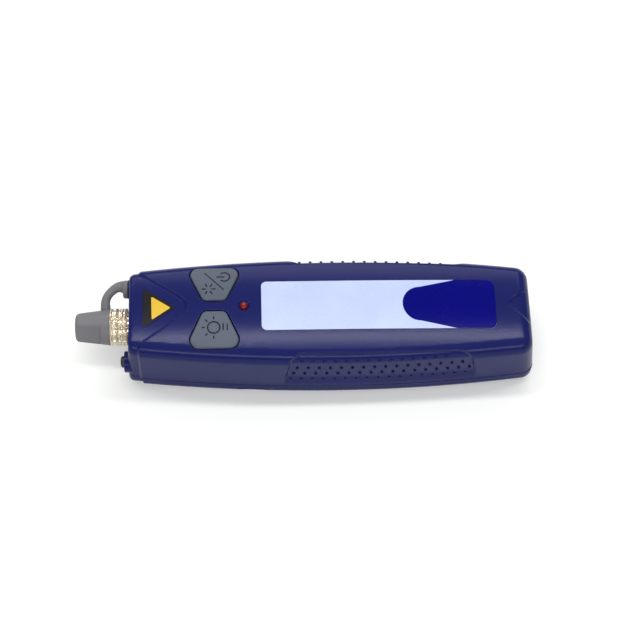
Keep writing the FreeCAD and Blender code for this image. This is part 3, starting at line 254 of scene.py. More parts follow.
def surface(u, s, sunk=0.0):
    """The place on the housing after a length u along it and s across it, and the way out."""
    along = np.clip(u, 0, BODY_LENGTH)
    for _ in range(2):
        out, up, tilt = across_section(along, s)
        nose, butt = end_starts(up)
        front = np.clip((nose - u) / NOSE_ROUNDING, 0, math.pi / 2)
        rear = np.clip((u - butt) / BUTT_ROUNDING, 0, math.pi / 2)
        along = np.clip(u, nose, butt) - NOSE_ROUNDING * np.sin(front) + BUTT_ROUNDING * np.sin(rear)
    inset = NOSE_ROUNDING * (1 - np.cos(front)) + BUTT_ROUNDING * (1 - np.cos(rear))
    along = along - NOSE_LEAN * inset * np.cos(tilt) * (front > 0)
    along = along + BUTT_LEAN * inset * np.cos(tilt) * (rear > 0)
    flat = np.cos(front) * np.cos(rear)
    normal = np.stack([np.sin(rear) - np.sin(front), flat * np.sin(tilt), flat * np.cos(tilt)], -1)
    place = np.stack([along, out - inset * np.sin(tilt), up - inset * np.cos(tilt)], -1)
    return place - normal * (sunk * flat)[..., None], normal


def end_length(u, s):
    """The same length along the surface as a true x, past the start of an end's rounding."""
    nose, butt = end_starts(across_section(u, s)[1])
    rear = np.arcsin(np.clip((u - butt) / BUTT_ROUNDING, 0, 1))
    front = np.arcsin(np.clip((nose - u) / NOSE_ROUNDING, 0, 1))
    return np.clip(u, nose, butt) + BUTT_ROUNDING * rear - NOSE_ROUNDING * front


def rounded(corners, closed=True, gap=0.8):
    """An outline through corners (x, y, radius), as points about a gap apart."""
    count = len(corners)
    points = []
    for i, (x, y, radius) in enumerate(corners):
        here = np.array((x, y), float)
        if not closed and i in (0, count - 1):
            points.append(here[None])
            continue
        before = np.array(corners[i - 1][:2], float) - here
        after = np.array(corners[(i + 1) % count][:2], float) - here
        before, after = before / np.linalg.norm(before), after / np.linalg.norm(after)
        half = math.acos(np.clip(before @ after, -1, 1)) / 2
        middle = (before + after) / np.linalg.norm(before + after)
        centre = here + middle * radius / math.sin(half)
        start = here + before * radius / math.tan(half) - centre
        sweep = math.pi - 2 * half
        sign = 1 if before[0] * after[1] < before[1] * after[0] else -1
        steps = max(4, math.ceil(radius * sweep / min(gap, 0.35 * radius + 0.1)))
        turn = sign * np.linspace(0, sweep, steps + 1)
        arc = np.stack([start[0] * np.cos(turn) - start[1] * np.sin(turn),
                        start[0] * np.sin(turn) + start[1] * np.cos(turn)], -1)
        points.append(centre + arc)
    points = np.concatenate(points)
    if closed:
        points = np.concatenate([points, points[:1]])
    filled = [points[:1]]
    for a, b in zip(points, points[1:]):
        steps = max(1, math.ceil(np.linalg.norm(b - a) / gap))
        filled.append(a + (b - a) * (np.arange(1, steps + 1) / steps)[:, None])
    return np.concatenate(filled)


def shifted(line, distance, closed):
    """A line moved to its left by a distance."""
    if closed:
        ahead = np.roll(line[:-1], -1, 0) - np.roll(line[:-1], 1, 0)
        ahead = np.concatenate([ahead, ahead[:1]])
    else:
        ahead = np.gradient(line, axis=0)
    ahead /= np.linalg.norm(ahead, axis=1)[:, None]
    return line + distance * np.stack([-ahead[:, 1], ahead[:, 0]], -1)


def distance_to(line, points, closed):
    """How far points lie to the left of a line."""
    a, b = line[:-1], line[1:]
    edge = b - a
    result = np.empty(len(points))
    for first in range(0, len(points), 2000):
        p = points[first:first + 2000, None]
        share = np.clip(((p - a) * edge).sum(-1) / (edge**2).sum(-1), 0, 1)
        offset = p - (a + share[..., None] * edge)
        length = np.linalg.norm(offset, axis=-1)
        near = length.argmin(1)
        rows = np.arange(len(near))
        if closed:
            crosses = (a[:, 1] > p[..., 1]) != (b[:, 1] > p[..., 1])
            with np.errstate(divide="ignore", invalid="ignore"):
                meets = a[:, 0] + (p[..., 1] - a[:, 1]) * edge[:, 0] / edge[:, 1]
            inner = ((p[..., 0] < meets) & crosses).sum(1) % 2 == 1
            sign = np.where(inner, 1, -1)
        else:
            off = offset[rows, near]
            way = edge[near]
            sign = np.sign(way[:, 0] * off[:, 1] - way[:, 1] * off[:, 0])
        result[first:first + 2000] = sign * length[rows, near]
    return result


def eased(t):
    t = np.clip(t, 0, 1)
    return t * t * (3 - 2 * t)


def grip_line(corners):
    """The grip's outline. It is drawn on a slope across the corner, as (x, height up the slope)."""
    line = rounded(corners, closed=False)
    low, high = np.zeros(len(line)), np.full(len(line), 50.0)
    for _ in range(40):
        middle = (low + high) / 2
        out, up, tilt = across_section(line[:, 0], middle)
        above = (up - out) / math.sqrt(2) > line[:, 1]
        low, high = np.where(above, middle, low), np.where(above, high, middle)
    return np.stack([line[:, 0], low], -1)


step_side = float(length_to_side(NOSE_STEP_X, NOSE_V_HALF_WIDTH))
nose_v = rounded([
    (NOSE_STEP_X, -60, 0), (NOSE_STEP_X, -step_side, NOSE_STEP_CORNER),
    (NOSE_V_APEX_X, 0, NOSE_V_TIP_RADIUS),
    (NOSE_STEP_X, step_side, NOSE_STEP_CORNER), (NOSE_STEP_X, 60, 0),
], closed=False)
butt_v = rounded([
    (BODY_LENGTH, BUTT_V_HALF_WIDTH, 0), (BUTT_V_APEX_X, 0, BUTT_V_TIP_RADIUS),
    (BODY_LENGTH, -BUTT_V_HALF_WIDTH, 0),
], closed=False)
butt_start = end_starts(across_section(butt_v[:, 0], np.abs(butt_v[:, 1]))[1])[1]
butt_v = butt_v[butt_v[:, 0] < butt_start + BUTT_ROUNDING]
butt_v[:, 0] = end_length(butt_v[:, 0], np.abs(butt_v[:, 1]))
butt_v = np.concatenate([butt_v[:1] + (3, 1), butt_v, butt_v[-1:] + (3, -1)])
grip = grip_line(GRIP)
label_seat = rounded([
    (LABEL_X[0], -LABEL_HALF_WIDTH, LABEL_CORNER), (LABEL_X[1], -LABEL_HALF_WIDTH, LABEL_CORNER),
    (LABEL_X[1], LABEL_HALF_WIDTH, LABEL_CORNER), (LABEL_X[0], LABEL_HALF_WIDTH, LABEL_CORNER),
])
key_outline = rounded([
    (KEY_X - KEY_HALF_LENGTHS[0], KEY_Y[0], KEY_CORNERS[0]),
    (KEY_X + KEY_HALF_LENGTHS[0], KEY_Y[0], KEY_CORNERS[0]),
    (KEY_X + KEY_HALF_LENGTHS[1], KEY_Y[1], KEY_CORNERS[1]),
    (KEY_X - KEY_HALF_LENGTHS[1], KEY_Y[1], KEY_CORNERS[1]),
])
window = key_outline.copy()
window[:, 1] = length_to_side(window[:, 0], window[:, 1])
turns = np.linspace(0, 2 * math.pi, 49)
lamp_hole = np.stack([LAMP_X + LAMP_HOLE_RADIUS * np.cos(turns), LAMP_HOLE_RADIUS * np.sin(turns)], -1)


def sunk_depth(u, s):
    """How far the steps, recesses and rounded edges lie below the plain form."""
    points = np.stack([u, s], -1)
    depth = STEP_DEPTH * eased(distance_to(nose_v, points, False) / STEP_WIDTH)
    depth += STEP_DEPTH * eased(distance_to(butt_v, points, False) / STEP_WIDTH)
    fading = eased((length_to_rim(u, RIM_HEIGHT) - s) / GRIP_FADE)
    depth += GRIP_DEPTH * fading * eased(distance_to(grip, points, False) / GRIP_WIDTH)
    depth += LABEL_DEPTH * eased(distance_to(label_seat, points, True) / LABEL_SEAT_EDGE)
    edge = np.clip(1 + distance_to(window, points, True) / WINDOW_EDGE, 0, 1)
    depth += WINDOW_EDGE * (1 - np.sqrt(1 - edge**2))
    lamp_sunk = (LAMP_SINK_RADIUS - np.hypot(u - LAMP_X, s)) / (LAMP_SINK_RADIUS - LAMP_HOLE_RADIUS)
    return depth + LAMP_SINK_DEPTH * eased(lamp_sunk)


def end_limits(s):
    """The whole lengths along the surface at which the roundings of the ends run out."""
    nose, butt = np.zeros_like(s), np.full_like(s, BODY_LENGTH)
    for _ in range(5):
        nose_start = end_starts(across_section(nose, s)[1])[0]
        butt_start = end_starts(across_section(butt, s)[1])[1]
        nose, butt = nose_start - NOSE_ROUNDING, butt_start + BUTT_ROUNDING
    return nose_start - NOSE_ROUNDING * math.pi / 2, butt_start + BUTT_ROUNDING * math.pi / 2


def rim_line(u):
    """The surface length s at which the lower rim lies, for lengths u."""
    s = length_to_rim(np.clip(u, 0, BODY_LENGTH))
    for _ in range(3):
        s = length_to_rim(surface(u, s)[0][:, 0])
    return s


def spaced(first, last, gap):
    return np.linspace(first, last, max(2, math.ceil((last - first) / gap) + 1))


def triangulated(lines, loose):
    """The plane's triangles between lines that they may not cross, through loose points as well."""
    points, edges = [], []
    for line in lines:
        first = len(points)
        points += [Vector(p) for p in line]
        edges += [(first + i, first + i + 1) for i in range(len(line) - 1)]
    tree = kdtree.KDTree(len(points))
    for i, p in enumerate(points):
        tree.insert((p.x, p.y, 0), i)
    tree.balance()
    points += [Vector(p) for p in loose if tree.find((p[0], p[1], 0))[2] > 0.45]
    found = delaunay_2d_cdt(points, edges, [], 0, 1e-5)
    return np.array([tuple(p) for p in found[0]]), np.array([tuple(f) for f in found[2]])


# The skin of one half, flat: its border, the edges of what is sunk into it, and a loose grid.
nose_rim_u = float(end_limits(np.array([length_to_rim(0.0)]))[0][0])
butt_rim_u = float(end_limits(np.array([length_to_rim(BODY_LENGTH)]))[1][0])
rim_u = spaced(3, 145, 1.5)[1:-1]
rim_u = np.concatenate([spaced(nose_rim_u, 3, 0.3), rim_u, spaced(145, butt_rim_u, 0.5)])
rim = np.stack([rim_u, rim_line(rim_u)], -1)
nose_s, butt_s = spaced(0, rim[0, 1], 0.7), spaced(0, rim[-1, 1], 0.7)
nose_edge = np.stack([end_limits(nose_s)[0], nose_s], -1)
butt_edge = np.stack([end_limits(butt_s)[1], butt_s], -1)
nose_edge[-1], butt_edge[-1] = rim[0], rim[-1]
middle_u = spaced(nose_edge[0, 0], butt_edge[0, 0], 1.5)
middle_line = np.stack([middle_u, 0 * middle_u], -1)
lines = [middle_line, rim, nose_edge, butt_edge]
for line, distances, closed in (
    (nose_v, (0, 0.2, 0.45, 0.7, 0.95, 1.15, 1.35, 1.7), False),
    (butt_v, (0, 0.2, 0.45, 0.7, 0.95, 1.15, 1.35), False),
    (grip, (-0.3, 0, 0.2, 0.45, 0.7, 0.95, 1.2, 1.4, 1.8), False),
    (label_seat, (-0.1, 0, 0.05, 0.1, 0.15, 0.3), True),
    (window, (0, -0.06, -0.14, -0.22, -0.3, -0.5), True),
    (lamp_hole, (0, -0.2, -0.4, -0.6, -0.8, -1.05), True),
):
    lines += [shifted(line, distance, closed) for distance in distances]
lines = [line for line in lines if line[:, 1].max() >= 0]
loose_u = np.concatenate([spaced(-2, 4, 0.55), spaced(4, 141, 1.6)[1:-1], spaced(141, 158, 0.6)])
loose_s = np.concatenate([spaced(0, 11, 1.8)[1:], spaced(11, 27, 0.75)[1:], spaced(27, 42, 1.6)[1:]])
loose = np.stack(np.meshgrid(loose_u, loose_s), -1).reshape(-1, 2)
flat, skin = triangulated(lines, loose)

centre = flat[skin].mean(1)
low, high = end_limits(np.maximum(centre[:, 1], 0))
kept = (centre[:, 1] > 0) & (centre[:, 0] > low) & (centre[:, 0] < high)
kept &= centre[:, 1] < rim_line(centre[:, 0])
kept &= distance_to(window, centre, True) < 0
kept &= np.hypot(centre[:, 0] - LAMP_X, centre[:, 1]) > LAMP_HOLE_RADIUS * 0.999
skin = skin[kept]
used = np.unique(skin)
renamed = np.full(len(flat), -1)
renamed[used] = np.arange(len(used))
flat, skin = flat[used], renamed[skin]


def skin_at(flat):
    return surface(flat[:, 0], flat[:, 1], sunk_depth(flat[:, 0], flat[:, 1]))[0]


outer = skin_at(flat)
plain, out_way = surface(flat[:, 0], flat[:, 1])
inner = plain - SKIN_GAP * out_way
near_hole = (np.abs(distance_to(window, flat, True)) < 1e-3)
near_hole |= np.abs(np.hypot(flat[:, 0] - LAMP_X, flat[:, 1]) - LAMP_HOLE_RADIUS) < 2e-2
straight_down = plain - WALL * np.array((0, 0, 1)) / np.maximum(out_way[:, 2:], 0.5)
inner[near_hole] = straight_down[near_hole]
small = 0.02
along_u = skin_at(flat + (small, 0)) - skin_at(flat - (small, 0))
along_s = skin_at(flat + (0, small)) - skin_at(flat - (0, small))
facing = np.cross(along_u, along_s)
facing /= np.linalg.norm(facing, axis=1)[:, None]


def border_of(faces):
    """The directed edges that only one face has."""
    edges = np.concatenate([faces[:, (0, 1)], faces[:, (1, 2)], faces[:, (2, 0)]])
    known = {tuple(edge) for edge in edges}
    return [edge for edge in known if edge[::-1] not in known]


def end_wall(limit, x_at_foot, lean, way, hole_radius):
    """The flat end of one half, from the rounding's last line down to the rim, with a round hole."""
    on_limit = [i for i in {i for edge in border_of(skin) for i in edge}
                if abs(flat[i, 0] - end_limits(flat[i:i + 1, 1])[limit][0]) < 0.02]
    edge = outer[sorted(on_limit, key=lambda i: flat[i, 1])][:, 1:]
    foot_y = spaced(0, edge[-1, 0], 1.5)[::-1]
    foot = np.stack([foot_y, np.full_like(foot_y, edge[-1, 1])], -1)
    spine_z = spaced(foot[-1, 1], edge[0, 1], 1.5)
    spine = np.stack([np.zeros_like(spine_z), spine_z], -1)
    turn = np.linspace(-math.pi / 2, math.pi / 2, 25)
    round_hole = np.stack([hole_radius * np.cos(turn), PORT_HEIGHT + hole_radius * np.sin(turn)], -1)
    lines = [edge, foot, spine] + ([round_hole] if hole_radius else [])
    points, faces = triangulated(lines, [])
    border = np.concatenate([edge, foot[1:-1], spine[:-1]])
    border = np.concatenate([border, border[:1]])
    centre = points[faces].mean(1)
    kept = distance_to(border, centre, True) > 0
    kept &= centre[:, 0] > 1e-3
    kept &= np.hypot(centre[:, 0], centre[:, 1] - PORT_HEIGHT) > hole_radius * 0.999
    x = x_at_foot - way * lean * (points[:, 1] - PARTING_HEIGHT)
    place = np.stack([x, points[:, 0], points[:, 1]], -1)
    out = np.array((way, 0, lean)) / math.hypot(1, lean)
    faces = faces[kept] if way > 0 else faces[kept][:, ::-1]
    return place, faces, np.broadcast_to(out, place.shape)


for place, faces, out in (
    end_wall(0, 0.0, NOSE_LEAN, -1, PORT_HOLE_RADIUS), end_wall(1, BODY_LENGTH, BUTT_LEAN, 1, 0),
):
    skin = np.concatenate([skin, faces + len(outer)])
    outer = np.concatenate([outer, place])
    inner = np.concatenate([inner, place - SKIN_GAP * out])
    facing = np.concatenate([facing, out])

# The other half is its mirror image. Points that meet become one.
mirror = np.array((1, -1, 1))
skin = np.concatenate([skin, skin[:, ::-1] + len(outer)])
outer, inner, facing = (np.concatenate([a, a * mirror]) for a in (outer, inner, facing))
_, first, same = np.unique(np.round(outer, 3) + 0.0, axis=0, return_index=True, return_inverse=True)
skin = same.reshape(-1)[skin]
outer, inner, facing = outer[first], inner[first], facing[first]
skin = skin[(skin[:, 0] != skin[:, 1]) & (skin[:, 1] != skin[:, 2]) & (skin[:, 0] != skin[:, 2])]
used = np.unique(skin)
renamed = np.full(len(outer), -1)
renamed[used] = np.arange(len(used))
skin, outer, inner, facing = renamed[skin], outer[used], inner[used], facing[used]


def in_frame(points):
    """Millimetres from the nose face, as metres in the frame."""
    return (np.asarray(points, float) + (NOSE_X, 0, 0)) * MM


def new_object(name, points, faces):
    mesh = bpy.data.meshes.new(name)
    corners = [tuple(int(i) for i in face) for face in faces]
    mesh.from_pydata([tuple(p) for p in in_frame(points)], [], corners)
    mesh.update()
    obj = bpy.data.objects.new(name, mesh)
    scene.collection.objects.link(obj)
    return obj


count = len(outer)
border = border_of(skin)
rims = [(b, a, a + count, b + count) for a, b in border]
shell = new_object("front_half", np.concatenate([outer, inner]),
                   [tuple(f) for f in skin] + [tuple(f[::-1] + count) for f in skin] + rims)
shell.data.polygons.foreach_set("use_smooth", [True] * len(shell.data.polygons))
sharp = {frozenset(edge) for edge in border} | {frozenset((a + count, b + count)) for a, b in border}
for edge in shell.data.edges:
    edge.use_edge_sharp = frozenset(edge.vertices) in sharp
outside = len(skin)
normals = []
for face in shell.data.polygons:
    for i in face.vertices:
        normals.append(tuple(facing[i]) if face.index < outside else (0, 0, 0))
shell.data.normals_split_custom_set(normals)


# What the blue plastic shares with the rubbers and the black mouldings: a fine spark-eroded grain
# that breaks up its shine, and a slow drift of its colour.
def moulded_grain():
    group = bpy.data.node_groups.new("moulded_grain", "ShaderNodeTree")
    for name, kind, way in (
        ("Color", "NodeSocketColor", "INPUT"), ("Grain Size", "NodeSocketFloat", "INPUT"),
        ("Grain Depth", "NodeSocketFloat", "INPUT"), ("Roughness", "NodeSocketFloat", "INPUT"),
        ("Drift", "NodeSocketFloat", "INPUT"), ("Color", "NodeSocketColor", "OUTPUT"),
        ("Roughness", "NodeSocketFloat", "OUTPUT"), ("Normal", "NodeSocketVector", "OUTPUT"),
    ):
        group.interface.new_socket(name=name, in_out=way, socket_type=kind)
    nodes, links = group.nodes, group.links
    given, result = nodes.new("NodeGroupInput"), nodes.new("NodeGroupOutput")
    place = nodes.new("ShaderNodeTexCoord")
    scale = nodes.new("ShaderNodeMath")
    scale.operation = "DIVIDE"
    scale.inputs[0].default_value = 1.0
    links.new(given.outputs["Grain Size"], scale.inputs[1])
    grain = nodes.new("ShaderNodeTexNoise")
    grain.inputs["Detail"].default_value = 3.0
    grain.inputs["Roughness"].default_value = 0.6
    links.new(place.outputs["Object"], grain.inputs["Vector"])
    links.new(scale.outputs[0], grain.inputs["Scale"])
    bump = nodes.new("ShaderNodeBump")
    links.new(given.outputs["Grain Depth"], bump.inputs["Distance"])
    links.new(grain.outputs["Fac"], bump.inputs["Height"])
    drift = nodes.new("ShaderNodeTexNoise")
    drift.inputs["Scale"].default_value = 60.0
    drift.inputs["Detail"].default_value = 2.0
    links.new(place.outputs["Object"], drift.inputs["Vector"])
    sway = nodes.new("ShaderNodeMapRange")
    sway.inputs["From Min"].default_value = 0.3
    sway.inputs["From Max"].default_value = 0.7
    sway.inputs["To Min"].default_value = 0.85
    sway.inputs["To Max"].default_value = 1.15
    links.new(drift.outputs["Fac"], sway.inputs["Value"])
    tint = nodes.new("ShaderNodeMix")
    tint.data_type = "RGBA"
    tint.blend_type = "MULTIPLY"
    links.new(given.outputs["Drift"], tint.inputs["Factor"])
    links.new(given.outputs["Color"], tint.inputs["A"])
    links.new(sway.outputs["Result"], tint.inputs["B"])
    speckle = nodes.new("ShaderNodeMapRange")
    speckle.inputs["From Min"].default_value = 0.35
    speckle.inputs["From Max"].default_value = 0.65
    speckle.inputs["To Min"].default_value = -0.06
    speckle.inputs["To Max"].default_value = 0.06
    links.new(grain.outputs["Fac"], speckle.inputs["Value"])
    rough = nodes.new("ShaderNodeMath")
    links.new(given.outputs["Roughness"], rough.inputs[0])
    links.new(speckle.outputs["Result"], rough.inputs[1])
    links.new(tint.outputs["Result"], result.inputs["Color"])
    links.new(rough.outputs[0], result.inputs["Roughness"])
    links.new(bump.outputs["Normal"], result.inputs["Normal"])
    return group


GRAIN = moulded_grain()


def grained(name, colour, roughness, size, depth, drift=0.3, metallic=0.0, specular=0.5, coat=0.0):
    """A material with a fine grain: its size and depth are in metres."""
    made = bpy.data.materials.new(name)
    made.use_nodes = True
    nodes, links = made.node_tree.nodes, made.node_tree.links
    principled = nodes["Principled BSDF"]
    grain = nodes.new("ShaderNodeGroup")
    grain.node_tree = GRAIN
    grain.inputs["Color"].default_value = (*colour, 1)
    grain.inputs["Grain Size"].default_value = size
    grain.inputs["Grain Depth"].default_value = depth
    grain.inputs["Roughness"].default_value = roughness
    grain.inputs["Drift"].default_value = drift
    links.new(grain.outputs["Color"], principled.inputs["Base Color"])
    links.new(grain.outputs["Roughness"], principled.inputs["Roughness"])
    links.new(grain.outputs["Normal"], principled.inputs["Normal"])
    principled.inputs["Metallic"].default_value = metallic
    principled.inputs["Specular IOR Level"].default_value = specular
    principled.inputs["Coat Weight"].default_value = coat
    return made


blue = grained("blue_abs", (0.0075, 0.0115, 0.104), 0.19, 0.00035, 0.000014, specular=0.18)
shell.data.materials.append(blue)
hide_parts("front_shell")
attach(shell, "housing")


def finished(node, material, angle=30.0):
    """A CAD node's solid with its loose triangles joined and its round faces smooth."""
    mesh = frame["nodes"][node].data.copy()
    joined = bmesh.new()
    joined.from_mesh(mesh)
    bmesh.ops.remove_doubles(joined, verts=joined.verts, dist=1e-6)
    for face in joined.faces:
        face.smooth = True
    for edge in joined.edges:
        faces = edge.link_faces
        edge.smooth = len(faces) == 2 and edge.calc_face_angle(0) < math.radians(angle)
    joined.to_mesh(mesh)
    joined.free()
    mesh.materials.clear()
    mesh.materials.append(material)
    obj = bpy.data.objects.new(node + "_finished", mesh)
    scene.collection.objects.link(obj)
    record = frame["record"]
    body = next(name for name, nodes in record["behaviour"]["bodies"].items() if node in nodes)
    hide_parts(node)
    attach(obj, body)
    return obj


# ------------------------------------------------------------------------------------------------
# The grips' nubs: rows of small domes moulded on both side walls for a sure hold. They stand on
# the grips' floors and end just below the plain form around them.
NUB_RADIUS, NUB_PITCH, NUB_SINK = 0.6, 4.1, 0.16
NUB_ROWS = ((26.4, 64.6, 34.5), (21.3, 62.9, 28.0), (16.9, 61.7, 25.1), (13.0, 60.5, 26.3))


def nub_tree():
    """Puts a dome of a given radius on every point of the mesh."""
    tree = bpy.data.node_groups.new("nubs", "GeometryNodeTree")
    tree.interface.new_socket(name="Geometry", in_out="INPUT", socket_type="NodeSocketGeometry")
    tree.interface.new_socket(name="Radius", in_out="INPUT", socket_type="NodeSocketFloat")
    tree.interface.new_socket(name="Plastic", in_out="INPUT", socket_type="NodeSocketMaterial")
    tree.interface.new_socket(name="Geometry", in_out="OUTPUT", socket_type="NodeSocketGeometry")
    nodes, links = tree.nodes, tree.links
    given, result = nodes.new("NodeGroupInput"), nodes.new("NodeGroupOutput")
    dome = nodes.new("GeometryNodeMeshUVSphere")
    dome.inputs["Segments"].default_value = 12
    dome.inputs["Rings"].default_value = 8
    spread = nodes.new("GeometryNodeInstanceOnPoints")
    real = nodes.new("GeometryNodeRealizeInstances")
    smooth = nodes.new("GeometryNodeSetShadeSmooth")
    coloured = nodes.new("GeometryNodeSetMaterial")
    links.new(given.outputs["Radius"], dome.inputs["Radius"])
    links.new(given.outputs["Geometry"], spread.inputs["Points"])
    links.new(dome.outputs["Mesh"], spread.inputs["Instance"])
    links.new(spread.outputs["Instances"], real.inputs["Geometry"])
    links.new(real.outputs["Geometry"], smooth.inputs["Geometry"])
    links.new(smooth.outputs["Geometry"], coloured.inputs["Geometry"])
    links.new(given.outputs["Plastic"], coloured.inputs["Material"])
    links.new(coloured.outputs["Geometry"], result.inputs["Geometry"])
    return tree


def grown(obj, tree, values):
    """The object with a tree's result as its plain mesh."""
    modifier = obj.modifiers.new(tree.name, "NODES")
    modifier.node_group = tree
    for item in tree.interface.items_tree:
        if item.item_type == "SOCKET" and item.in_out == "INPUT" and item.name in values:
            modifier[item.identifier] = values[item.name]
    bpy.context.view_layer.update()
    evaluated = obj.evaluated_get(bpy.context.evaluated_depsgraph_get())
    mesh = bpy.data.meshes.new_from_object(evaluated)
    obj.modifiers.clear()
    obj.data = mesh
    return obj


nub_points = []
for z, first_x, last_from_butt in NUB_ROWS:
    spaces = round((BODY_LENGTH - last_from_butt - first_x) / NUB_PITCH)
    for x in first_x + NUB_PITCH * np.arange(spaces + 1):
        s = length_to_rim(x, z)
        place, way = surface(np.array([x]), np.array([s]))
        for side in (1, -1):
            nub_points.append((place[0] - (NUB_RADIUS + NUB_SINK) * way[0]) * (1, side, 1))
nubs = grown(new_object("grip_nubs", nub_points, []), nub_tree(),
             {"Radius": NUB_RADIUS * MM, "Plastic": blue})
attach(nubs, "housing")


# ------------------------------------------------------------------------------------------------
# The rear half and the battery door: the same blue ABS, parted from the front half by a fine
# groove. The door slides off towards the butt.
finished("rear_shell", blue)
finished("battery_door", blue)


# ------------------------------------------------------------------------------------------------
# Rubber keys: soft grey silicone, a little proud of the face, with their signs printed in navy.
key_rubber = grained("key_rubber", (0.085, 0.103, 0.142), 0.45, 0.0003, 0.00001, specular=0.3)
key_ink = grained("key_ink", (0.006, 0.006, 0.016), 0.5, 0.0002, 0.000004, specular=0.2)
KEY_PROUD = 0.45
INK_THICKNESS = 0.05
finished("power_key", key_rubber, 40)
finished("mode_key", key_rubber, 40)


def crown_top(x, y, above):
    """A point over the crown, at a height above its plain form."""
    top = bulged(x, NOSE_HEIGHT, MIDDLE_HEIGHT, BUTT_HEIGHT) - CROWN_RADIUS
    return np.stack([x, y, top + np.sqrt((CROWN_RADIUS + above)**2 - y**2)], -1)


def stroke(line, width, closed=False):
    """A printed line as a thin closed strip: its points, and its faces."""
    line = np.array(line, float)
    if len(line) == 2:
        share = np.linspace(0, 1, 13)[:, None]
        line = line[0] + share * (line[1] - line[0])
    if closed:
        line = np.concatenate([line, line[:1]])
    left, right = shifted(line, width / 2, closed), shifted(line, -width / 2, closed)
    if closed:
        left, right = left[:-1], right[:-1]
    n = len(left)
    flat = np.concatenate([left, right])
    high = crown_top(flat[:, 0], flat[:, 1], KEY_PROUD + INK_THICKNESS / 2)
    low = crown_top(flat[:, 0], flat[:, 1], KEY_PROUD - INK_THICKNESS / 2)
    faces = []
    for i in range(n if closed else n - 1):
        j = (i + 1) % n
        faces += [(i, n + i, n + j, j), (2 * n + j, 3 * n + j, 3 * n + i, 2 * n + i),
                  (j, 2 * n + j, 2 * n + i, i), (n + i, 3 * n + i, 3 * n + j, n + j)]
    if not closed:
        faces += [(0, 2 * n, 3 * n, n), (n - 1, 2 * n - 1, 4 * n - 1, 3 * n - 1)]
    return np.concatenate([high, low]), faces


def arc(centre, radius, first, last, steps=32):
    turn = np.radians(np.linspace(first, last, steps + 1))
    return np.stack([centre[0] + radius * np.cos(turn), centre[1] + radius * np.sin(turn)], -1)


def ray(centre, inner, outer, angle):
    way = np.array((math.cos(math.radians(angle)), math.sin(math.radians(angle))))
    return [np.array(centre) + inner * way, np.array(centre) + outer * way]


def print_signs(name, strokes, key):
    points, faces, count = [], [], 0
    for line, width, closed in strokes:
        place, sides = stroke(line, width, closed)
        faces += [tuple(i + count for i in side) for side in sides]
        points.append(place)
        count += len(place)
    signs = new_object(name, np.concatenate(points), faces)
    signs.data.materials.append(key_ink)
    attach(signs, key)


POWER_SIGN, STAR_SIGN, LAMP_SIGN = (36.4, 12.4), (30.55, 7.05), (32.4, -9.0)
print_signs("power_signs", [
    ([(28.9, 14.4), (36.2, 6.5)], 0.42, False),
    (arc(POWER_SIGN, 1.95, -135, 135), 0.55, False),
    ([(33.4, 12.4), (36.4, 12.4)], 0.55, False),
] + [(ray(STAR_SIGN, 1.05, 2.6, angle), 0.5, False) for angle in range(0, 360, 60)], "power_key")
print_signs("mode_signs", [
    (arc(LAMP_SIGN, 2.25, 0, 360, 48)[:-1], 0.55, True),
    ([(35.85, -7.4), (35.85, -10.1)], 0.5, False),
    ([(37.35, -7.7), (37.35, -10.2)], 0.48, False),
] + [(ray(LAMP_SIGN, 3.25, 4.4, angle), 0.55, False) for angle in range(90, 271, 45)], "mode_key")


# ------------------------------------------------------------------------------------------------
# The label: printed polyester film in its seat, pale blue with a navy field at its butt end.
# The field is bare, and so is the black film triangle on the nose.
label_film = grained("label_film", (0.52, 0.60, 0.87), 0.3, 0.0008, 0.0000006, drift=0.35, specular=0.3)
navy_ink = grained("navy_ink", (0.002, 0.002, 0.17), 0.22, 0.0008, 0.0000006, drift=0.1, specular=0.06)
decal_film = grained("decal_film", (0.008, 0.006, 0.009), 0.35, 0.0006, 0.000001, specular=0.2)
finished("label_plate", label_film, 25)
finished("nose_decal", decal_film, 25)
LABEL_PROUD = 0.05
INK_PROUD, FIELD_THICKNESS = 0.03, 0.04
FIELD_NOSE_X, FIELD_NOSE_LENGTH, FIELD_NOSE_HALF_WIDTH, FIELD_EDGE_X = 102.3, 6.6, 7.1, 122.0
FIELD_END_X, FIELD_HALF_WIDTH, FIELD_CORNER = BODY_LENGTH - 15.6, 10.15, 2.0


def film(name, outline, above, material, gap=2.0):
    """A printed field as a very thin closed sheet that follows the crown."""
    inside = np.stack(np.meshgrid(spaced(outline[:, 0].min(), outline[:, 0].max(), gap),
                                  spaced(outline[:, 1].min(), outline[:, 1].max(), gap)), -1)
    points, faces = triangulated([outline], inside.reshape(-1, 2))
    faces = faces[distance_to(outline, points[faces].mean(1), True) > 0]
    used = np.unique(faces)
    renamed = np.full(len(points), -1)
    renamed[used] = np.arange(len(used))
    points, faces = points[used], renamed[faces]
    n = len(points)
    high = crown_top(points[:, 0], points[:, 1], above)
    low = crown_top(points[:, 0], points[:, 1], above - FIELD_THICKNESS)
    sides = [(b, a, a + n, b + n) for a, b in border_of(faces)]
    sheet = new_object(name, np.concatenate([high, low]),
                       [tuple(f) for f in faces] + [tuple(f[::-1] + n) for f in faces] + sides)
    sheet.data.materials.append(material)
    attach(sheet, "housing")
    return sheet


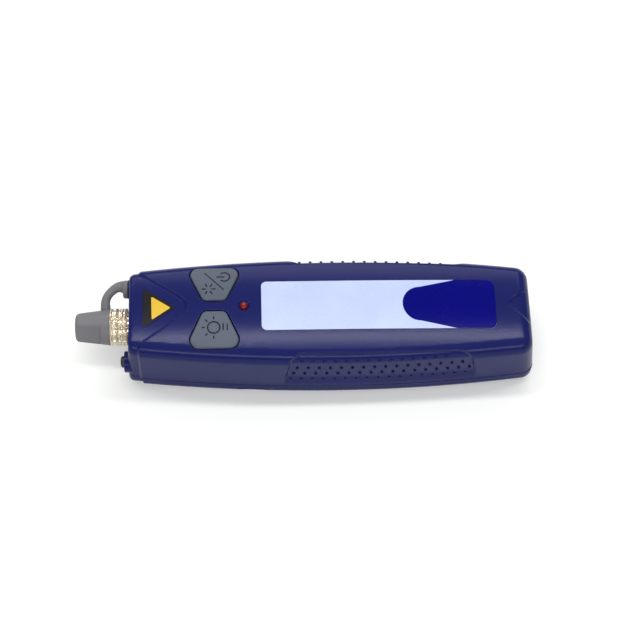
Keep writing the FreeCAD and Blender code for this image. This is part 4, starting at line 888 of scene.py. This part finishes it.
# The field's nose is a half ellipse that runs on in two straight flanks to the label's edges.
turn = np.linspace(-math.pi / 2, math.pi / 2, 25)
nose_arc = np.stack([
    FIELD_NOSE_X + FIELD_NOSE_LENGTH * (1 - np.cos(turn)), -FIELD_NOSE_HALF_WIDTH * np.sin(turn),
], -1)
field = rounded([
    (FIELD_EDGE_X, -FIELD_HALF_WIDTH, 3.0), (FIELD_END_X, -FIELD_HALF_WIDTH, FIELD_CORNER),
    (FIELD_END_X, FIELD_HALF_WIDTH, FIELD_CORNER), (FIELD_EDGE_X, FIELD_HALF_WIDTH, 3.0),
], closed=False)
field = np.concatenate([field, nose_arc, field[:1]])
film("label_field", field, LABEL_PROUD + INK_PROUD, navy_ink)

# On the black triangle, a plain yellow one.
DECAL_TOP = -0.55
yellow_ink = grained("yellow_ink", (0.74, 0.47, 0.02), 0.35, 0.002, 0.000003, drift=0.15)
triangle = rounded([(9.3, 4.7, 0.3), (16.5, -0.2, 0.4), (9.6, -5.1, 0.3)], closed=True)
film("decal_triangle", triangle, DECAL_TOP + INK_PROUD, yellow_ink)


# ------------------------------------------------------------------------------------------------
# The lamp: a 3 mm light-emitting diode in clear red epoxy, its dome through a countersunk hole.
lamp_red = grained("lamp_red", (0.20, 0.001, 0.006), 0.12, 0.001, 0.0, drift=0.2)
finished("indicator_led", lamp_red, 50)


# ------------------------------------------------------------------------------------------------
# The optical port: nickel-plated brass, with a lock ring and a longer ring that unscrews. Both
# are rolled with a fine diamond knurl between narrow chamfers.
nickel = grained("bright_nickel", (0.95, 0.84, 0.66), 0.22, 0.0004, 0.000003, metallic=1.0)
RING_BORE, KNURL_STEPS = 4.95, 4
RING_RADIUS, KNURL_PITCH, KNURL_DEPTH, RING_CHAMFER = 7.0, 1.0, 0.32, 0.3


def knurled_ring(name, node):
    """A ring turned about the port. Two crossing rows of grooves leave diamonds between them."""
    low, high = (corner.x / MM - NOSE_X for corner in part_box(node))
    around = KNURL_STEPS * round(2 * math.pi * RING_RADIUS / KNURL_PITCH)
    rows = KNURL_STEPS * max(2, round((high - low - 2 * RING_CHAMFER) / KNURL_PITCH))
    stations = [(low, RING_BORE), (low, RING_RADIUS - RING_CHAMFER)]
    knurl = np.linspace(low + RING_CHAMFER, high - RING_CHAMFER, rows + 1)
    stations += [(x, None) for x in knurl]
    stations += [(high, RING_RADIUS - RING_CHAMFER), (high, RING_BORE)]
    points = []
    for x, radius in stations:
        for i in range(around):
            angle = 2 * math.pi * i / around
            r = radius
            if radius is None:
                a = i / KNURL_STEPS + (x - low) / KNURL_PITCH
                b = i / KNURL_STEPS - (x - low) / KNURL_PITCH
                rise = min(abs(a % 1 - 0.5), abs(b % 1 - 0.5)) * 2
                r = RING_RADIUS - KNURL_DEPTH * (1 - rise)
            points.append((x, r * math.sin(angle), PORT_HEIGHT + r * math.cos(angle)))
    faces = []
    for k in range(len(stations)):
        m = (k + 1) % len(stations)
        for i in range(around):
            j = (i + 1) % around
            faces.append((k * around + i, m * around + i, m * around + j, k * around + j))
    ring = new_object(name, points, faces)
    ring.data.polygons.foreach_set("use_smooth", [False] * len(ring.data.polygons))
    ring.data.materials.append(nickel)
    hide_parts(node)
    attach(ring, "housing")


knurled_ring("lock_ring_knurled", "lock_ring")
knurled_ring("port_ring_knurled", "knurled_ring")
finished("port_adapter", nickel)


# ------------------------------------------------------------------------------------------------
# The dust cap and its strap: one soft grey rubber moulding. The cap pulls straight off the port;
# the strap runs from it to the eye that is pegged into the nose.
cap_rubber = grained("cap_rubber", (0.175, 0.17, 0.185), 0.5, 0.0004, 0.00002, specular=0.35)
RUBBER_GRID = 0.00022


def soft_edged(obj, rounds):
    """The object's mesh drawn over evenly and rounded, as soft rubber leaves its mould."""
    even = obj.modifiers.new("even", "REMESH")
    even.mode = "VOXEL"
    even.voxel_size = RUBBER_GRID
    rounding = obj.modifiers.new("rounding", "SMOOTH")
    rounding.factor = 0.5
    rounding.iterations = rounds
    bpy.context.view_layer.update()
    evaluated = obj.evaluated_get(bpy.context.evaluated_depsgraph_get())
    soft = bpy.data.meshes.new_from_object(evaluated)
    obj.modifiers.clear()
    obj.data = soft
    soft.polygons.foreach_set("use_smooth", [True] * len(soft.polygons))
    soft.materials.clear()
    soft.materials.append(cap_rubber)


soft_edged(finished("dust_cap", cap_rubber), 7)

EYE_RADIUS, EYE_THICKNESS = 3.4, 1.8
EYE_Y, EYE_Z = 12.8, 22.0
STRAP_ROUTE = ((-8.3, 5.6, 18.2), (-8.7, 8.2, 19.6), (-8.0, 10.6, 20.9), (-5.6, 12.9, 21.6),
               (-3.4, 14.2, 22.0), (-1.6, 14.0, 22.0), (-0.4, 13.4, 22.0))


def tube_along(name, route, radii, sides=20):
    """A round bar along a smooth line through the route's points."""
    curve = bpy.data.curves.new(name, "CURVE")
    curve.dimensions = "3D"
    spline = curve.splines.new("NURBS")
    spline.points.add(len(route) - 1)
    for point, place, radius in zip(spline.points, in_frame(route), radii):
        point.co = (*place, 1)
        point.radius = radius
    spline.use_endpoint_u = True
    spline.order_u = 4
    spline.resolution_u = 8
    curve.bevel_depth = MM
    curve.bevel_resolution = sides // 4
    curve.use_fill_caps = True
    obj = bpy.data.objects.new(name, curve)
    scene.collection.objects.link(obj)
    bpy.context.view_layer.update()
    evaluated = obj.evaluated_get(bpy.context.evaluated_depsgraph_get())
    mesh = bpy.data.meshes.new_from_object(evaluated)
    scene.collection.objects.unlink(obj)
    return mesh


def turned(profile, centre, sides=48):
    """A solid turned about an axis along x, from its profile (x, radius) between two points at 0."""
    points = [(profile[0][0], *centre)]
    for x, radius in profile[1:-1]:
        for i in range(sides):
            angle = 2 * math.pi * i / sides
            out, up = radius * math.sin(angle), radius * math.cos(angle)
            points.append((x, centre[0] + out, centre[1] + up))
    points.append((profile[-1][0], *centre))
    rings = len(profile) - 2
    faces = []
    for i in range(sides):
        j = (i + 1) % sides
        faces.append((0, 1 + i, 1 + j))
        for k in range(rings - 1):
            a, b = 1 + k * sides, 1 + (k + 1) * sides
            faces.append((a + i, b + i, b + j, a + j))
        last = 1 + (rings - 1) * sides
        faces.append((last + i, len(points) - 1, last + j))
    return points, faces


def rounded_disc(x0, x1, radius, edge):
    """A disc's profile from x0, where it stands proud with a rounded edge, to x1."""
    turn = np.linspace(math.pi / 2, 0, 7)
    rim = [(x0 + edge * (1 - math.sin(a)), radius - edge + edge * math.cos(a)) for a in turn]
    return [(x0, 0)] + rim + [(x1, radius), (x1, 0)]


strap_mesh = tube_along("strap", STRAP_ROUTE, (2.0, 1.75, 1.65, 1.7, 1.9, 2.4, 2.6))
joined = bmesh.new()
joined.from_mesh(strap_mesh)
points, faces = turned(rounded_disc(-EYE_THICKNESS, 0.35, EYE_RADIUS, 0.6), (EYE_Y, EYE_Z))
places = [joined.verts.new(p) for p in in_frame(points)]
for face in faces:
    joined.faces.new([places[i] for i in face])
bmesh.ops.recalc_face_normals(joined, faces=joined.faces)
joined.to_mesh(strap_mesh)
joined.free()
strap = bpy.data.objects.new("strap", strap_mesh)
scene.collection.objects.link(strap)
soft_edged(strap, 18)
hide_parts("cap_strap")
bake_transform(strap)


# ------------------------------------------------------------------------------------------------
# The lug beside the port, moulded with the front half, and the flat seat of the strap's eye. The
# lug carries a short black domed screw.
LUG_Y, LUG_Z, LUG_RADIUS, LUG_HEIGHT = -12.7, 12.2, 4.0, 1.4
black_steel = grained("black_steel", (0.012, 0.012, 0.014), 0.3, 0.0005, 0.000003, specular=0.5)
for name, profile, centre in (
    ("lug", rounded_disc(-LUG_HEIGHT, 1.0, LUG_RADIUS, 0.35), (LUG_Y, LUG_Z)),
    ("eye_seat", rounded_disc(0.0, 1.0, EYE_RADIUS + 0.1, 0.1), (EYE_Y, EYE_Z)),
):
    points, faces = turned(profile, centre)
    seat = new_object(name, points, faces)
    seat.data.polygons.foreach_set("use_smooth", [True] * len(seat.data.polygons))
    seat.data.materials.append(blue)
    seat.data.set_sharp_from_angle(angle=math.radians(40))
    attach(seat, "housing")
finished("lug_screw", black_steel, 40)


# ------------------------------------------------------------------------------------------------
# The circuit board in green laminate, carrying the two push switches with their plungers, the
# driver chip, the trimmer that sets the laser's current, and a can capacitor.
laminate = grained("board_green", (0.012, 0.10, 0.04), 0.4, 0.002, 0.000005, drift=0.2, coat=0.3)
black_plastic = grained("black_plastic", (0.018, 0.018, 0.019), 0.5, 0.0004, 0.00001)
switch_plastic = grained("switch_plastic", (0.03, 0.03, 0.032), 0.45, 0.0003, 0.000008)
plunger_red = grained("plunger_red", (0.45, 0.04, 0.03), 0.4, 0.0003, 0.000006)
trimmer_blue = grained("trimmer_blue", (0.02, 0.09, 0.42), 0.35, 0.0004, 0.000004)
aluminium = grained("drawn_aluminium", (0.74, 0.74, 0.76), 0.3, 0.0008, 0.000003, metallic=1.0)
finished("circuit_board", laminate)
finished("driver_chip", black_plastic)
for node in ("power_switch", "mode_switch"):
    finished(node, switch_plastic)
for node in ("power_plunger", "mode_plunger"):
    finished(node, plunger_red)
finished("trimmer", trimmer_blue)
finished("capacitor", aluminium)


# ------------------------------------------------------------------------------------------------
# The laser module behind the port: a turned brass barrel and rings that hold the glass lens and the
# gold-plated diode, with a split ceramic sleeve in front that takes the fibre's ferrule.
ceramic = grained("zirconia", (0.82, 0.81, 0.76), 0.12, 0.002, 0.0, drift=0.05)
brass = grained("turned_brass", (0.62, 0.43, 0.17), 0.25, 0.0006, 0.000004, metallic=1.0)
gold = grained("gold_plate", (0.8, 0.58, 0.24), 0.22, 0.0006, 0.000002, metallic=1.0)
glass = bpy.data.materials.new("lens_glass")
glass.use_nodes = True
clear = glass.node_tree.nodes["Principled BSDF"]
clear.inputs["Base Color"].default_value = (0.92, 0.96, 0.96, 1)
clear.inputs["Roughness"].default_value = 0.02
clear.inputs["Transmission Weight"].default_value = 1.0
clear.inputs["IOR"].default_value = 1.52
finished("ferrule_sleeve", ceramic)
for node in ("laser_barrel", "lens_ring", "diode_ring"):
    finished(node, brass)
finished("focus_lens", glass)
finished("laser_diode", gold)


# ------------------------------------------------------------------------------------------------
# Two cells lie side by side in a black moulded tray. Nickel-plated strip and springs press on
# their ends.
jacket = grained("cell_sleeve", (0.10, 0.11, 0.12), 0.3, 0.003, 0.000004, coat=0.3)
spring_steel = grained("nickel_strip", (0.62, 0.61, 0.58), 0.28, 0.0006, 0.000003, metallic=1.0)
finished("battery_tray", black_plastic)
for node in ("battery_far", "battery_near"):
    finished(node, jacket)
for node in (
    "positive_contact", "negative_contact", "contact_bridge", "tail_spring", "front_spring",
):
    finished(node, spring_steel)


# ------------------------------------------------------------------------------------------------
# Zinc-plated steel screws hold the halves, the board and the tray.
zinc = grained("zinc_plate", (0.5, 0.5, 0.53), 0.32, 0.0005, 0.000003, metallic=1.0)
for node in ("housing_screws", "board_screws", "tray_screws"):
    finished(node, zinc)
